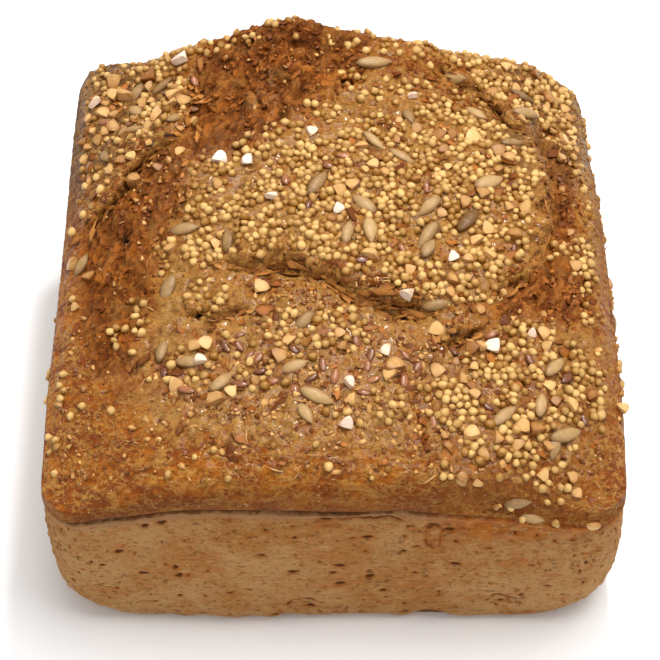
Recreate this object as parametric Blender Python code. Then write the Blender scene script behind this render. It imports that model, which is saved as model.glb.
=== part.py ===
"""A seeded multigrain tin loaf, uncut and solid, with its larger seeds baked into the crust.

X is the loaf's width, Y its length away from the front wall, Z up from the base it rests on.
Lengths are millimetres while the form is worked out, and metres in the finished mesh.
"""

import math
import random

import bmesh
import bpy
import numpy as np
from mathutils import Euler, Matrix, Vector, noise
from mathutils.bvhtree import BVHTree

METRES = 0.001

# Driving sizes of the bread
WIDTH = 158.0
LENGTH = 161.0
LIP_HEIGHT = 62.0
LIP_RADIUS = 11.0
LIP_SAG = 6.5
MIDDLE = (0.73, -0.42)
FINE_CELLS = 112
EDGE_CROWDING = 0.35
FACETS = 4900
SHARP_ANGLE = 50

# Noise in the form: how far it moves the crust or walls, its lump size and where it is read
SWELL = (1.2, 46.0, 1.7)
COARSE_LUMPS = (1.3, 13.0, 3.1)
SMALL_LUMPS = (0.9, 5.5, 8.7)
RAGGED_ACROSS = (1.1, 6.0, 21.3)
RAGGED_ALONG = (1.3, 6.0, 41.7)

# The wall below the lip: height as a share of the lip's, outset along X and along Y, corner radius
WALL = (
    (0.975, 0.1, 0.0, 10.8),
    (0.952, -0.5, -1.3, 11.0),
    (0.932, -0.1, -0.6, 11.2),
    (0.895, -0.1, -1.0, 11.5),
    (0.78, 0.8, -0.3, 12.0),
    (0.56, 1.5, 0.3, 13.5),
    (0.36, 1.7, 0.1, 15.0),
    (0.19, 1.4, -0.8, 18.0),
    (0.08, 0.5, -2.2, 22.0),
    (0.025, -0.6, -3.4, 24.0),
    (0.0, -2.4, -5.0, 25.0),
)

# How far each side stands out beyond the plain rectangle, from the front corner to the back one
LEFT_SIDE = ((-82, 1.2), (-40, 0.9), (0, 0.7), (40, 1.2), (82, 0.9))
RIGHT_SIDE = ((-82, 2.2), (-45, 2.9), (-10, 2.8), (25, 2.2), (55, 1.2), (82, 0.3))

# Height of the middle of the crust above the lip, from the front edge to the back edge
SPINE = (
    (-82, 0), (-80.5, 4.5), (-78, 8.5), (-73, 12), (-64, 15), (-50, 18), (-32, 21.5),
    (-8, 26.5), (30, 32), (64, 37), (74, 36), (79, 28), (82, 10),
)

# The same across the loaf, as a share of the spine, at the middle and at the back
ARCH_MIDDLE = (
    (-82, 0), (-80.5, 0.16), (-77.5, 0.32), (-72, 0.49), (-63, 0.67), (-47, 0.86), (-15, 1),
    (20, 1), (50, 0.86), (66, 0.66), (74, 0.5), (79, 0.33), (82, 0.16), (84, 0),
)
ARCH_BACK = (
    (-82, 0.14), (-79, 0.29), (-74, 0.42), (-60, 0.49), (-45, 0.67), (-33, 0.79), (-16, 1),
    (0, 0.91), (20, 0.8), (42, 0.59), (60, 0.47), (70, 0.27), (79, 0.1), (83, 0),
)

# Ledges of torn crust: points along the edge with the raised side on the left, then the rise, the sink below,
# how far the rise reaches and the width of the torn face
LEDGES = {
    "left_plate": (
        ((-75, 6), (-69, 11), (-63.5, 17), (-60.5, 22), (-57.5, 28), (-53, 33), (-43, 35)),
        2.6, 1.8, 16.0, 1.8,
    ),
    "burst": (((-40, 30), (-43, 42), (-41, 60), (-38, 80)), 1.0, 0.8, 14.0, 3.0),
    "front_left": (((-42, -27.5), (-34, -29), (-22, -28.5)), 0.9, 0.9, 8.0, 1.8),
    "front_of_plateau": (
        (
            (-32, -14), (-22, -14.5), (-13, -13.5), (-6, -17), (-1, -18.5), (3, -21), (8, -24.5), (18, -26.5),
            (24, -27), (31, -28.5),
        ), 3.2, 2.6, 18.0, 4.0,
    ),
    "right_crack": (((31, -38.5), (38, -35.5), (43, -31)), 1.2, 1.6, 8.0, 1.6),
    "right_of_plateau": (
        ((41, -27), (47, -21), (54, -15), (60, -7), (64, 8), (63, 30), (60, 44)), 2.2, 1.8, 14.0, 3.5,
    ),
    "back_plate": (((31, 68), (43.5, 60), (50, 53), (54, 46), (60, 41)), 2.0, 1.4, 12.0, 1.8),
    "right_edge": (((79, 44), (77, 12), (75, -12), (74, -30)), 1.6, 0.8, 8.0, 3.0),
    "left_of_plateau": (((-42, 22), (-42, 9), (-47, 1), (-51, -12)), 0.9, 0.9, 12.0, 3.0),
}
FOOT_WIDTH = 3.5
LEDGE_END = 0.12

# Hollows: middle X, Y, half sizes along X and Y, depth
HOLLOWS = (
    (21, -30, 6.0, 2.6, 2.6),
    (25, -60, 4.0, 17.0, 1.6),
    (5, 44.5, 3.5, 2.2, 1.8),
    (70, -36, 4.0, 2.6, 2.0),
    (-60, -8, 9.0, 34.0, 1.4),
)

# Wall dents: along the front edge, height, half width, half height, depth
DENTS = ((-9, 3, 5.0, 4.0, 1.3), (28, 12, 3.2, 6.0, 1.2), (28, 0, 4.0, 4.0, 1.6), (47, 6, 5.0, 5.0, 1.0))

# Seeds: length, width, thickness, sides, rings
KERNEL = (9.4, 4.6, 2.6, 6, 3)
BUCKWHEAT = (3.8, 3.4, 3.0, 5, 3)
LINSEED = (4.6, 2.5, 1.4, 5, 3)
MILLET = (2.9, 2.8, 2.6, 5, 3)
SUNK = 0.30
KERNEL_ROOM = 6.0
LINSEED_ROOM = 4.6
BUCKWHEAT_ROOM = 4.4
LIP_REACH = 2.5

# Sunflower kernels that lie where they do on the crust: X, Y and the turn of the long axis from X
KERNEL_PLACES = (
    (-47, -40, 75), (-39, -44, -5), (-30, -51, 50), (-10, -47, 20), (-4, -56, -25), (-7, -61, -60),
    (-46, -20, 70), (-42, -2, 5), (-29.5, -7, 85), (-7.5, -32.5, 50), (12.5, 27.5, -45), (11, -6, -85),
    (4.5, -7, 80), (27.5, -11, 65), (44, 47, -40), (57.5, -55, 80), (62, -43, 50), (50, -79, -5),
    (54, -83, -20), (-4, 11, 60), (46, 14, 30), (-73, 0, -55), (-60, 52, -50), (-68, 33, -60),
    (-52, 60, 25), (38, 63, 10), (79, -18, 85), (13, 60, 10), (23, 39, -70), (54, 33, 20),
)
BUCKWHEAT_PLACES = (
    (-6, 30), (-24, 20), (-33, 21), (-17, 6), (2, 1), (20.6, -26), (34.5, -12.5), (15, -42), (4, -64),
    (56, -34), (45, -39), (5, -52), (24, 48), (66, -76), (-46, 68), (-73, 58), (-36, -44), (39, -17.5),
    (51, 5.6), (41, -71), (35, -77), (25, 34), (59, -66), (-33, 12), (-46, -8), (-33, -8), (52, -4),
    (45, -12), (70, -8), (77, -49), (-20, -22), (-55, 41), (-48, 54), (57, 62), (71, 47), (-64, 60),
    (38, -66), (52, -62), (-74, 41), (-62, 40),
)
LINSEED_PLACES = ((-25, -52, -10), (-16, -51, 10), (1, -50, 80), (9, -55, -10), (24, -46, 60), (-20, -44, 50))

# Millet patches of the crust: corners of each patch and how many of the largest grains it takes
MILLET_PATCHES = {
    "plateau": (
        (
            (-50, -28), (-30, -27), (-8, -19), (20, -29), (48, -19),
            (62, 8), (58, 42), (2, 40), (-20, 28), (-40, 20),
        ),
        30,
    ),
    "left_plate": (((-77, 17), (-62, 25), (-56, 36), (-46, 40), (-46, 70), (-77, 72)), 10),
    "back_plate": (((48, 55), (64, 50), (76, 40), (76, 70), (46, 68)), 7),
    "front_plate": (((-64, -24), (-44, -34), (18, -42), (20, -58), (-44, -54), (-56, -36)), 8),
    "right_plate": (((30, -42), (54, -28), (74, -32), (76, -62), (64, -78), (30, -74)), 12),
    "right_edge": (((70, 10), (76, 38), (79, 36), (79, -56), (76, -56), (72, -10)), 7),
}
MILLET_SPACING = 4.2
TRIES_FOR_EACH = 60
SEED_OF_DRAWS = 41


def smooth(share):
    """Eases a share from 0 to 1."""
    share = np.clip(share, 0.0, 1.0)
    return share * share * (3.0 - 2.0 * share)


def curve(points, at):
    """A smooth curve through (position, value) points, read at each position."""
    places, values = np.array(points, float).T
    slopes = np.gradient(values, places)
    index = np.clip(np.searchsorted(places, at) - 1, 0, len(places) - 2)
    step = places[index + 1] - places[index]
    share = np.clip((at - places[index]) / step, 0.0, 1.0)
    rise = values[index + 1] - values[index]
    start_bend = (1 - share) * (slopes[index] * step - rise)
    end_bend = share * (slopes[index + 1] * step - rise)
    return values[index] + share * rise + share * (1 - share) * (start_bend - end_bend)


def nearest(line, x, y):
    """For each place: signed distance from the line, its left side positive, and the share along the line."""
    best = np.full(np.shape(x), np.inf)
    side = np.ones(np.shape(x))
    along = np.zeros(np.shape(x))
    total = sum(math.dist(start, end) for start, end in zip(line, line[1:]))
    passed = 0.0
    for (x0, y0), (x1, y1) in zip(line, line[1:]):
        run_x, run_y = x1 - x0, y1 - y0
        length = math.hypot(run_x, run_y)
        share = np.clip(((x - x0) * run_x + (y - y0) * run_y) / length**2, 0, 1)
        away_x, away_y = x - x0 - share * run_x, y - y0 - share * run_y
        distance = np.hypot(away_x, away_y)
        closer = distance < best
        side = np.where(closer, np.sign(run_x * away_y - run_y * away_x), side)
        along = np.where(closer, (passed + share * length) / total, along)
        best = np.minimum(best, distance)
        passed += length
    return best * side, along


def ledge(line, rise, sink, reach, face, x, y):
    """Lifts the crust beside a torn edge and sinks the crevice below it, both fading with distance."""
    distance, along = nearest(line, x, y)
    ends = smooth(along / LEDGE_END) * smooth((1 - along) / LEDGE_END)
    lifted = rise * np.exp(-((np.maximum(distance, 0) / reach) ** 2))
    crevice = sink * np.exp(-((np.minimum(distance, 0) / FOOT_WIDTH) ** 2))
    blend = smooth(distance / face + 0.5)
    return (blend * lifted - (1 - blend) * crevice) * ends


def hollow(middle_x, middle_y, half_x, half_y, depth, x, y):
    return -depth * np.exp(-(((x - middle_x) / half_x) ** 2) - ((y - middle_y) / half_y) ** 2)


def lumps(x, y, z, amount, size, offset):
    """Even noise of the given lump size, about -amount to amount, from the loaf's own coordinates."""
    spots = zip(np.ravel(x) / size + offset, np.ravel(y) / size, np.ravel(z) / size)
    return amount * np.array([noise.noise(Vector(spot)) for spot in spots]).reshape(np.shape(x))


def roughness(x, y):
    """How strongly the crust is broken up: most on the burst, least on the bare front."""
    burst = smooth((y - 28) / 18) * smooth((18 - x) / 18) * smooth((x + 48) / 8)
    tears = 0.5 * smooth((x - 58) / 8) * smooth((y + 32) / 14)
    front = 0.5 * smooth((-y - 52) / 14)
    return 0.55 + 1.5 * burst + tears - 0.6 * front


def crust_rise(x, y):
    """Height of the crust above the lip, from the dome down to its cracks."""
    back = smooth((y - 12) / 48)
    arch = (1 - back) * curve(ARCH_MIDDLE, x) + back * curve(ARCH_BACK, x)
    rise = curve(SPINE, y) * arch
    inward = smooth(1.15 - np.maximum(np.abs(x) / WIDTH, np.abs(y) / LENGTH) ** 6 * 64)
    flat = np.zeros(np.shape(x))
    ragged_x, ragged_y = x + lumps(x, y, flat, *RAGGED_ACROSS), y + lumps(x, y, flat, *RAGGED_ALONG)
    relief = sum(ledge(*values, ragged_x, ragged_y) for values in LEDGES.values())
    relief += sum(hollow(*values, x, y) for values in HOLLOWS)
    relief += roughness(x, y) * (lumps(x, y, flat, *COARSE_LUMPS) + lumps(x, y, flat, *SMALL_LUMPS))
    return rise + relief * inward


def lip_height(x, y):
    """The lip climbs a little to the back and sags at the two front corners."""
    corner = smooth((np.abs(x) - 36) / 40) * smooth((-y - 40) / 38)
    return LIP_HEIGHT + 2.0 * smooth((y + 60) / 120) - LIP_SAG * corner


def footprint(u, v, half_width, half_length, radius):
    """Places (u, v) of the square -1..1 in a rectangle with rounded corners."""
    x, y = u * half_width, v * half_length
    over_x = np.clip((np.abs(x) - half_width + radius) / radius, 0, 1)
    over_y = np.clip((np.abs(y) - half_length + radius) / radius, 0, 1)
    round_x = (half_width - radius) + radius * over_x * np.sqrt(1 - over_y**2 / 2)
    round_y = (half_length - radius) + radius * over_y * np.sqrt(1 - over_x**2 / 2)
    x = np.where(over_x > 0, np.sign(x) * round_x, x)
    y = np.where(over_y > 0, np.sign(y) * round_y, y)
    return x, y


def loaf_points(u, v, level):
    """Turns grid places and wall levels into the loaf's own coordinates."""
    spread_u = (1 - EDGE_CROWDING) * u + EDGE_CROWDING * np.sin(u * math.pi / 2)
    spread_v = (1 - EDGE_CROWDING) * v + EDGE_CROWDING * np.sin(v * math.pi / 2)
    rows = np.array(((1.0, 0.0, 0.0, LIP_RADIUS),) + WALL)
    share, outset_x, outset_y, radius = rows[level].T
    x, y = footprint(spread_u, spread_v, WIDTH / 2 + outset_x, LENGTH / 2 + outset_y, radius)
    x = x + spread_u * np.where(u < 0, curve(LEFT_SIDE, y), curve(RIGHT_SIDE, y))
    lip = lip_height(x, y)
    swell = lumps(x, y, lip * share, *SWELL) * np.where(level > 0, 1, 0) * (1 - (1 - share) ** 8)
    x = x + swell * u
    y = y + swell * v
    z = lip * share + np.where(level == 0, crust_rise(x, y), 0)
    front = smooth((-v - 0.9) / 0.1)
    for place, height, half_width, half_height, depth in DENTS:
        y = y + front * depth * np.exp(-(((x - place) / half_width) ** 2) - ((z - height) / half_height) ** 2)
    return x, y, z


def body_mesh():
    """The bare loaf: a gridded crust whose edge is drawn down as the walls and closed by the base."""
    form = bmesh.new()
    bmesh.ops.create_grid(form, x_segments=FINE_CELLS, y_segments=FINE_CELLS, size=1.0)
    edge = [edge for edge in form.edges if edge.is_boundary]
    for level in range(1, len(WALL) + 1):
        drawn = bmesh.ops.extrude_edge_only(form, edges=edge)["geom"]
        edge = [piece for piece in drawn if isinstance(piece, bmesh.types.BMEdge)]
        for corner in (piece for piece in drawn if isinstance(piece, bmesh.types.BMVert)):
            corner.co.z = -level
    bmesh.ops.contextual_create(form, geom=edge)
    places = np.array([corner.co for corner in form.verts])
    x, y, z = loaf_points(places[:, 0], places[:, 1], np.rint(-places[:, 2]).astype(int))
    for corner, place in zip(form.verts, zip(x, y, z)):
        corner.co = (Vector(place) - Vector((*MIDDLE, 0))) * METRES
    bmesh.ops.recalc_face_normals(form, faces=form.faces)
    mesh = bpy.data.meshes.new("seeded_loaf")
    form.to_mesh(mesh)
    form.free()
    return mesh


def facet(loaf):
    """Thins the fine grid, keeping most faces where the crust is broken."""
    triangles = sum(len(face.vertices) - 2 for face in loaf.data.polygons)
    thinning = loaf.modifiers.new("facets", "DECIMATE")
    thinning.ratio = FACETS / triangles
    thinning.use_collapse_triangulate = True
    apply_modifiers(loaf)


def apply_modifiers(thing):
    """Makes the modified mesh the object's own mesh."""
    bpy.context.view_layer.update()
    evaluated = thing.evaluated_get(bpy.context.evaluated_depsgraph_get())
    finished = bpy.data.meshes.new_from_object(evaluated)
    thing.modifiers.clear()
    former = thing.data
    thing.data = finished
    bpy.data.meshes.remove(former)


def seed_mesh(name, size):
    """A low seed lying along X, drawn out to a point at one end."""
    length, width, thickness, sides, rings = size
    form = bmesh.new()
    bmesh.ops.create_uvsphere(form, u_segments=sides, v_segments=rings, radius=0.5)
    bmesh.ops.rotate(form, verts=form.verts, matrix=Matrix.Rotation(math.pi / 2, 3, "Y"))
    for corner in form.verts:
        slimmer = 1 - 0.35 * corner.co.x * 2 * (length / width > 1.3)
        corner.co.y *= slimmer
    bmesh.ops.scale(form, verts=form.verts, vec=Vector((length, width, thickness)) * METRES)
    mesh = bpy.data.meshes.new(name)
    form.to_mesh(mesh)
    form.free()
    return mesh


def seat(tree, x, y):
    """The crust's point and outward normal at a place in plan; one near the lip is met from outside."""
    outward = Vector((0, 0, 1))
    if abs(x) > WIDTH / 2 - LIP_REACH:
        outward = Vector((math.copysign(1, x), 0, 0.75))
    elif abs(y) > LENGTH / 2 - LIP_REACH:
        outward = Vector((0, math.copysign(1, y), 0.75))
    start = Vector((x - MIDDLE[0], y - MIDDLE[1], LIP_HEIGHT)) + outward * 2 * LIP_HEIGHT
    point, normal, _, _ = tree.ray_cast(start * METRES, -outward)
    return point, normal


def lay_seed(tree, mesh, size, x, y, turn, group):
    """Lays one seed flat on the crust and sinks it a little."""
    point, normal = seat(tree, x, y)
    upright = normal.to_track_quat("Z", "Y")
    seed = bpy.data.objects.new(mesh.name, mesh)
    seed.rotation_mode = "QUATERNION"
    heading = Vector((math.cos(math.radians(turn)), math.sin(math.radians(turn)), 0))
    local = upright.inverted() @ heading
    seed.rotation_quaternion = upright @ Euler((0, 0, math.atan2(local.y, local.x))).to_quaternion()
    seed.location = point + normal * size[2] * (0.5 - SUNK) * METRES
    group.objects.link(seed)


def in_patch(corners, x, y):
    """Whether a place lies inside the patch's outline."""
    inside = False
    for (x0, y0), (x1, y1) in zip(corners, corners[1:] + corners[:1]):
        if (y0 > y) != (y1 > y) and x < x0 + (x1 - x0) * (y - y0) / (y1 - y0):
            inside = not inside
    return inside


def spread_in_patch(corners, count, taken, draws):
    """Draws places in a patch that keep clear of every place already taken."""
    columns, rows = zip(*corners)
    chosen = []
    for _ in range(count * TRIES_FOR_EACH):
        if len(chosen) == count:
            break
        x = draws.uniform(min(columns), max(columns))
        y = draws.uniform(min(rows), max(rows))
        clear = all(math.hypot(x - x0, y - y0) > room for x0, y0, room in taken)
        if clear and in_patch(corners, x, y):
            chosen.append((x, y))
            taken.append((x, y, MILLET_SPACING))
    return chosen


def lay_seeds(loaf, group):
    """Every seed large enough to show from a step away, the largest first."""
    form = bmesh.new()
    form.from_mesh(loaf.data)
    tree = BVHTree.FromBMesh(form)
    form.free()
    draws = random.Random(SEED_OF_DRAWS)
    taken = []
    kernel = seed_mesh("kernel", KERNEL)
    for x, y, turn in KERNEL_PLACES:
        lay_seed(tree, kernel, KERNEL, x, y, turn, group)
        taken.append((x, y, KERNEL_ROOM))
    linseed = seed_mesh("linseed", LINSEED)
    for x, y, turn in LINSEED_PLACES:
        lay_seed(tree, linseed, LINSEED, x, y, turn, group)
        taken.append((x, y, LINSEED_ROOM))
    buckwheat = seed_mesh("buckwheat", BUCKWHEAT)
    for x, y in BUCKWHEAT_PLACES:
        lay_seed(tree, buckwheat, BUCKWHEAT, x, y, draws.uniform(0, 180), group)
        taken.append((x, y, BUCKWHEAT_ROOM))
    millet = seed_mesh("millet", MILLET)
    for corners, count in MILLET_PATCHES.values():
        for x, y in spread_in_patch(corners, count, taken, draws):
            lay_seed(tree, millet, MILLET, x, y, draws.uniform(0, 180), group)


def bake_in(loaf, group):
    """Joins every seed to the loaf as one solid, then removes the loose seeds."""
    union = loaf.modifiers.new("seeds", "BOOLEAN")
    union.operation = "UNION"
    union.operand_type = "COLLECTION"
    union.collection = group
    union.solver = "MANIFOLD"
    apply_modifiers(loaf)
    for seed in list(group.objects):
        bpy.data.objects.remove(seed)
    bpy.data.collections.remove(group)


def crust_material():
    """Browned crust, halfway between the golden front and the darker burst."""
    material = bpy.data.materials.new("crust")
    material.use_nodes = True
    shader = material.node_tree.nodes["Principled BSDF"]
    shader.inputs["Base Color"].default_value = (0.30, 0.13, 0.04, 1)
    shader.inputs["Roughness"].default_value = 0.55
    shader.inputs["Metallic"].default_value = 0.0
    return material


def main():
    for thing in list(bpy.data.objects):
        bpy.data.objects.remove(thing)
    bread = bpy.data.collections.new("seeded_multigrain_loaf")
    seeds = bpy.data.collections.new("seeds")
    for group in (bread, seeds):
        bpy.context.scene.collection.children.link(group)
    loaf = bpy.data.objects.new("seeded_loaf", body_mesh())
    bread.objects.link(loaf)
    facet(loaf)
    lay_seeds(loaf, seeds)
    bake_in(loaf, seeds)
    loaf.data.materials.clear()
    loaf.data.materials.append(crust_material())
    loaf.data.shade_smooth()
    loaf.data.set_sharp_from_angle(angle=math.radians(SHARP_ANGLE))


main()
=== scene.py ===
import math
import random

import bmesh
import bpy
import numpy as np
from mathutils import Euler, Matrix, Vector, noise
from mathutils.bvhtree import BVHTree


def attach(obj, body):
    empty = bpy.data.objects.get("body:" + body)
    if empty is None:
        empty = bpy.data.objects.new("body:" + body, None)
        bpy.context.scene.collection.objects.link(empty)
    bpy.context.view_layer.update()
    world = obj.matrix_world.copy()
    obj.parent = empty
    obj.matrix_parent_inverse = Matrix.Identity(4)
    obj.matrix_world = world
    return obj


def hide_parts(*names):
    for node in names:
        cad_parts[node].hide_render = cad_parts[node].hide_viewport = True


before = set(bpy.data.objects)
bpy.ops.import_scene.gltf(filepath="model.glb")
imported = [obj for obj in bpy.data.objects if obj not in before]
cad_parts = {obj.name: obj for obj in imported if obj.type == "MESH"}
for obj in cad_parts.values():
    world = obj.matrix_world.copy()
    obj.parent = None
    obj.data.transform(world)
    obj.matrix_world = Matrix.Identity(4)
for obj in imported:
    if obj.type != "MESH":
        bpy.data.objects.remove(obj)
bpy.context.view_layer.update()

# Lengths are millimetres in the loaf's plan while the form is worked out, and metres in the meshes.
# X is the loaf's width, Y its length away from the front wall, Z up from the base.
METRES = 0.001
MIDDLE = (0.73, -0.42)

# The bread's own sizes, as its solid has them
WIDTH = 158.0
LENGTH = 161.0
LIP_HEIGHT = 62.0
LIP_SAG = 6.5
LIP_RADIUS = 11.0
EDGE_CROWDING = 0.35
CRUST_CELLS = 300
SKIRT_ROWS = 6
WALL_CELLS = 230
WALL_ROWS = 100

# The wall below the lip: height as a share of the lip's, outset along X and along Y, corner radius
LIP = (1.0, 0.0, 0.0, LIP_RADIUS)
UNDER_LIP = (0.975, 0.1, 0.0, 10.8)
GROOVE = (0.952, -0.5, -1.3, 11.0)
WALL = (
    GROOVE,
    (0.932, -0.1, -0.6, 11.2),
    (0.895, -0.1, -1.0, 11.5),
    (0.78, 0.8, -0.3, 12.0),
    (0.56, 1.5, 0.3, 13.5),
    (0.36, 1.7, 0.1, 15.0),
    (0.19, 1.4, -0.8, 18.0),
    (0.08, 0.5, -2.2, 22.0),
    (0.025, -0.6, -3.4, 24.0),
    (0.0, -2.4, -5.0, 25.0),
)

# How far each side stands out beyond the plain rectangle, from the front corner to the back one
LEFT_SIDE = ((-82, 1.2), (-40, 0.9), (0, 0.7), (40, 1.2), (82, 0.9))
RIGHT_SIDE = ((-82, 2.2), (-45, 2.9), (-10, 2.8), (25, 2.2), (55, 1.2), (82, 0.3))

# Height of the middle of the crust above the lip, from the front edge to the back edge
SPINE = (
    (-82, 0), (-80.5, 4.5), (-78, 8.5), (-73, 12), (-64, 15), (-50, 18), (-32, 21.5),
    (-8, 26.5), (30, 32), (64, 37), (74, 36), (79, 28), (82, 10),
)

# Behind this Y, and below this height of the spine, the crust falls steeply
STEEP_BACK = (66.0, 36.0)

# The same across the loaf, as a share of the spine, at the middle and at the back
ARCH_MIDDLE = (
    (-82, 0), (-80.5, 0.16), (-77.5, 0.32), (-72, 0.49), (-63, 0.67), (-47, 0.86), (-15, 1),
    (20, 1), (50, 0.86), (66, 0.66), (74, 0.5), (79, 0.33), (82, 0.16), (84, 0),
)
ARCH_BACK = (
    (-82, 0.14), (-79, 0.29), (-74, 0.42), (-60, 0.49), (-45, 0.67), (-33, 0.79), (-16, 1),
    (0, 0.91), (20, 0.8), (42, 0.59), (60, 0.47), (70, 0.27), (79, 0.1), (83, 0),
)

# Ledges of torn crust: points along the edge with the raised side on the left, then the rise, the sink below it,
# how far the rise reaches, the width of the torn face and how dark the painted shade in the crevice at its foot is
LEDGES = {
    "left_plate": (
        ((-75, 6), (-69, 11), (-63.5, 17), (-60.5, 22), (-57.5, 28), (-53, 33), (-43, 35)), 2.6, 1.8, 16.0, 1.8, 1.0,
    ),
    "burst": (((-40, 30), (-43, 42), (-41, 60), (-38, 80)), 1.0, 0.8, 14.0, 3.0, 0.2),
    "front_left": (((-42, -27.5), (-34, -29), (-22, -28.5)), 0.9, 0.9, 8.0, 1.8, 0.6),
    "front_of_plateau": (
        (
            (-32, -14), (-22, -14.5), (-13, -13.5), (-6, -17), (-1, -18.5), (3, -21), (8, -24.5), (18, -26.5),
            (24, -27), (31, -28.5),
        ), 3.2, 2.6, 18.0, 4.0, 1.0,
    ),
    "right_crack": (((31, -38.5), (38, -35.5), (43, -31)), 1.2, 1.6, 8.0, 1.6, 1.0),
    "right_of_plateau": (
        ((41, -27), (47, -21), (54, -15), (60, -7), (64, 8), (63, 30), (60, 44)), 2.2, 1.8, 14.0, 3.5, 0.5,
    ),
    "back_plate": (((31, 68), (43.5, 60), (50, 53), (54, 46), (60, 41)), 2.0, 1.4, 12.0, 1.8, 0.8),
    "right_edge": (((79, 44), (77, 12), (75, -12), (74, -30)), 1.6, 0.8, 8.0, 3.0, 0.1),
    "left_of_plateau": (((-42, 22), (-42, 9), (-47, 1), (-51, -12)), 0.9, 0.9, 12.0, 3.0, 0.4),
}
FOOT_WIDTH = 3.5
CLEAR_LEDGES = ("left_plate", "front_of_plateau", "right_crack", "back_plate")
CLEAN_LEDGES = ("left_plate", "back_plate")
LAYER_LINES = (-0.7, -0.15, 0.4)
OVERHANG = 1.3
EDGE_SPACING = 0.8

# Hollows: middle X, Y, half sizes along X and Y, depth
HOLLOWS = (
    (21, -30, 6.0, 2.6, 2.6),
    (25, -60, 4.0, 17.0, 1.6),
    (5, 44.5, 3.5, 2.2, 1.8),
    (70, -36, 4.0, 2.6, 2.0),
    (-60, -8, 9.0, 34.0, 1.4),
    (-59, 0.5, 1.3, 2.6, 1.6),
)

# Fine creases in the film: points along each, then its depth and how dark its painted shade is
CREASES = (
    (((-43, 7), (-46, 4.5), (-48, 2)), 1.0, 1.0),
    (((-39, -29), (-36, -28.6), (-33, -29.5)), 0.9, 1.0),
    (((23.5, -50), (22.5, -56), (25, -64), (26.5, -75)), 0.9, 0.3),
    (((-26, 52), (-23, 46), (-19, 37)), 2.2, 0.4),
)
CREASE_WIDTH = 0.65

# Small dark holes in the crust, their darkness painted shade, places with a painted pinkish sheen and browner ones:
# middle X, Y, half sizes, strength
HOLES = ((3.8, 51.5, 2.6, 0.9, 1), (69.4, -35.7, 2.0, 1.2, 1), (-59.3, 0.5, 1.0, 2.0, 1), (-69.3, 9.9, 1.1, 0.9, 1))
HOLE_DEPTH = 1.6
SHEEN_SPOTS = (
    (-27, 9, 15, 16, 1.0), (-10, -50, 34, 13, 0.8), (10, -33, 16, 8, 0.5), (50, -50, 20, 18, 0.3),
    (-20, 43, 4, 8, 0.9), (-38, 18, 5, 9, 0.8),
)
BROWNED = (
    (54, -77, 30, 10, 0.9), (-60, 46, 18, 34, 0.8), (-66, -55, 14, 30, 0.35), (54, -46, 24, 22, 0.5), (-18, 68, 24, 10, 0.9),
    (69, 14, 9, 34, 0.5), (-62, 26, 12, 10, 0.6),
    (22, 63, 24, 8, 0.7),
)

# Cavities in the groove under the front lip: along the front edge, half width, depth
LIP_CAVITIES = ((-62, 5.0, 2.4), (-14, 9.0, 0.8), (20, 7.0, 0.9))
GROOVE_WANDER = 1.1
GROOVE_REACH = 0.016

# Scars of the tin on the front wall: points along each as places along the front and heights, then depth
WALL_SCARS = (
    (((-1, 55.8), (3, 55), (7, 56), (11, 55.2), (16, 55.8), (19, 54.4)), 0.6),
    (((28, 53.5), (26.3, 50), (26.4, 45), (28.2, 41.5), (30.4, 44), (30.8, 49.5), (29.2, 53), (27, 52.6)), 0.5),
    (((46, 13), (48, 17), (52, 15), (52, 11)), 0.5),
    (((-13, 11), (-10, 14.5), (-6, 14), (-3, 10.5)), 0.6),
)
SCAR_WIDTH = 0.7

# Notches in the foot of the front wall: along the front edge, half width, how far the foot is lifted
NOTCHES = ((30.5, 3.6, 3.4), (-11, 4.2, 1.6))

# Wall dents: along the front edge, height, half width, half height, depth
DENTS = ((-8, 10, 4.5, 3.6, 1.5), (28, 12, 3.2, 6.0, 1.2), (28, 0, 4.0, 4.0, 1.6), (49, 13, 4.0, 4.0, 1.0))

# Where the crust tore open and shows bare crumb, as corners in plan
BURST = (
    (-44, 35), (-43, 60), (-39, 84), (6, 84), (12, 66), (9, 52), (0, 46), (-10, 38), (-20, 27), (-28, 22), (-41, 20),
)
LEFT_TEAR = (
    (-43, 35), (-53, 32), (-58, 26), (-61, 20), (-66, 13), (-74, 5), (-73, -14), (-67, -44),
    (-56, -46), (-52, -26), (-51, -12), (-47, 2), (-42, 9), (-40, 24),
)
RIGHT_TEAR = (
    (60, 44), (64, 30), (65, 8), (61, -8), (54, -16), (47, -22), (42, -29), (48, -31), (56, -28), (66, -27),
    (76, -20), (75, -6), (71, 4), (72, 22), (77, 44), (68, 54),
)
# Pale dough that shows between the seeds
DOUGH = (
    (-50, -26), (-60, -30), (-58, -50), (-48, -64), (-20, -71), (6, -72), (24, -72), (32, -80), (60, -80), (76, -66),
    (80, -30), (60, -26), (48, -22), (60, -6), (64, 8), (62, 40), (40, 66), (14, 60), (2, 47), (-20, 27), (-40, 20), (-46, 2),
)

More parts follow.
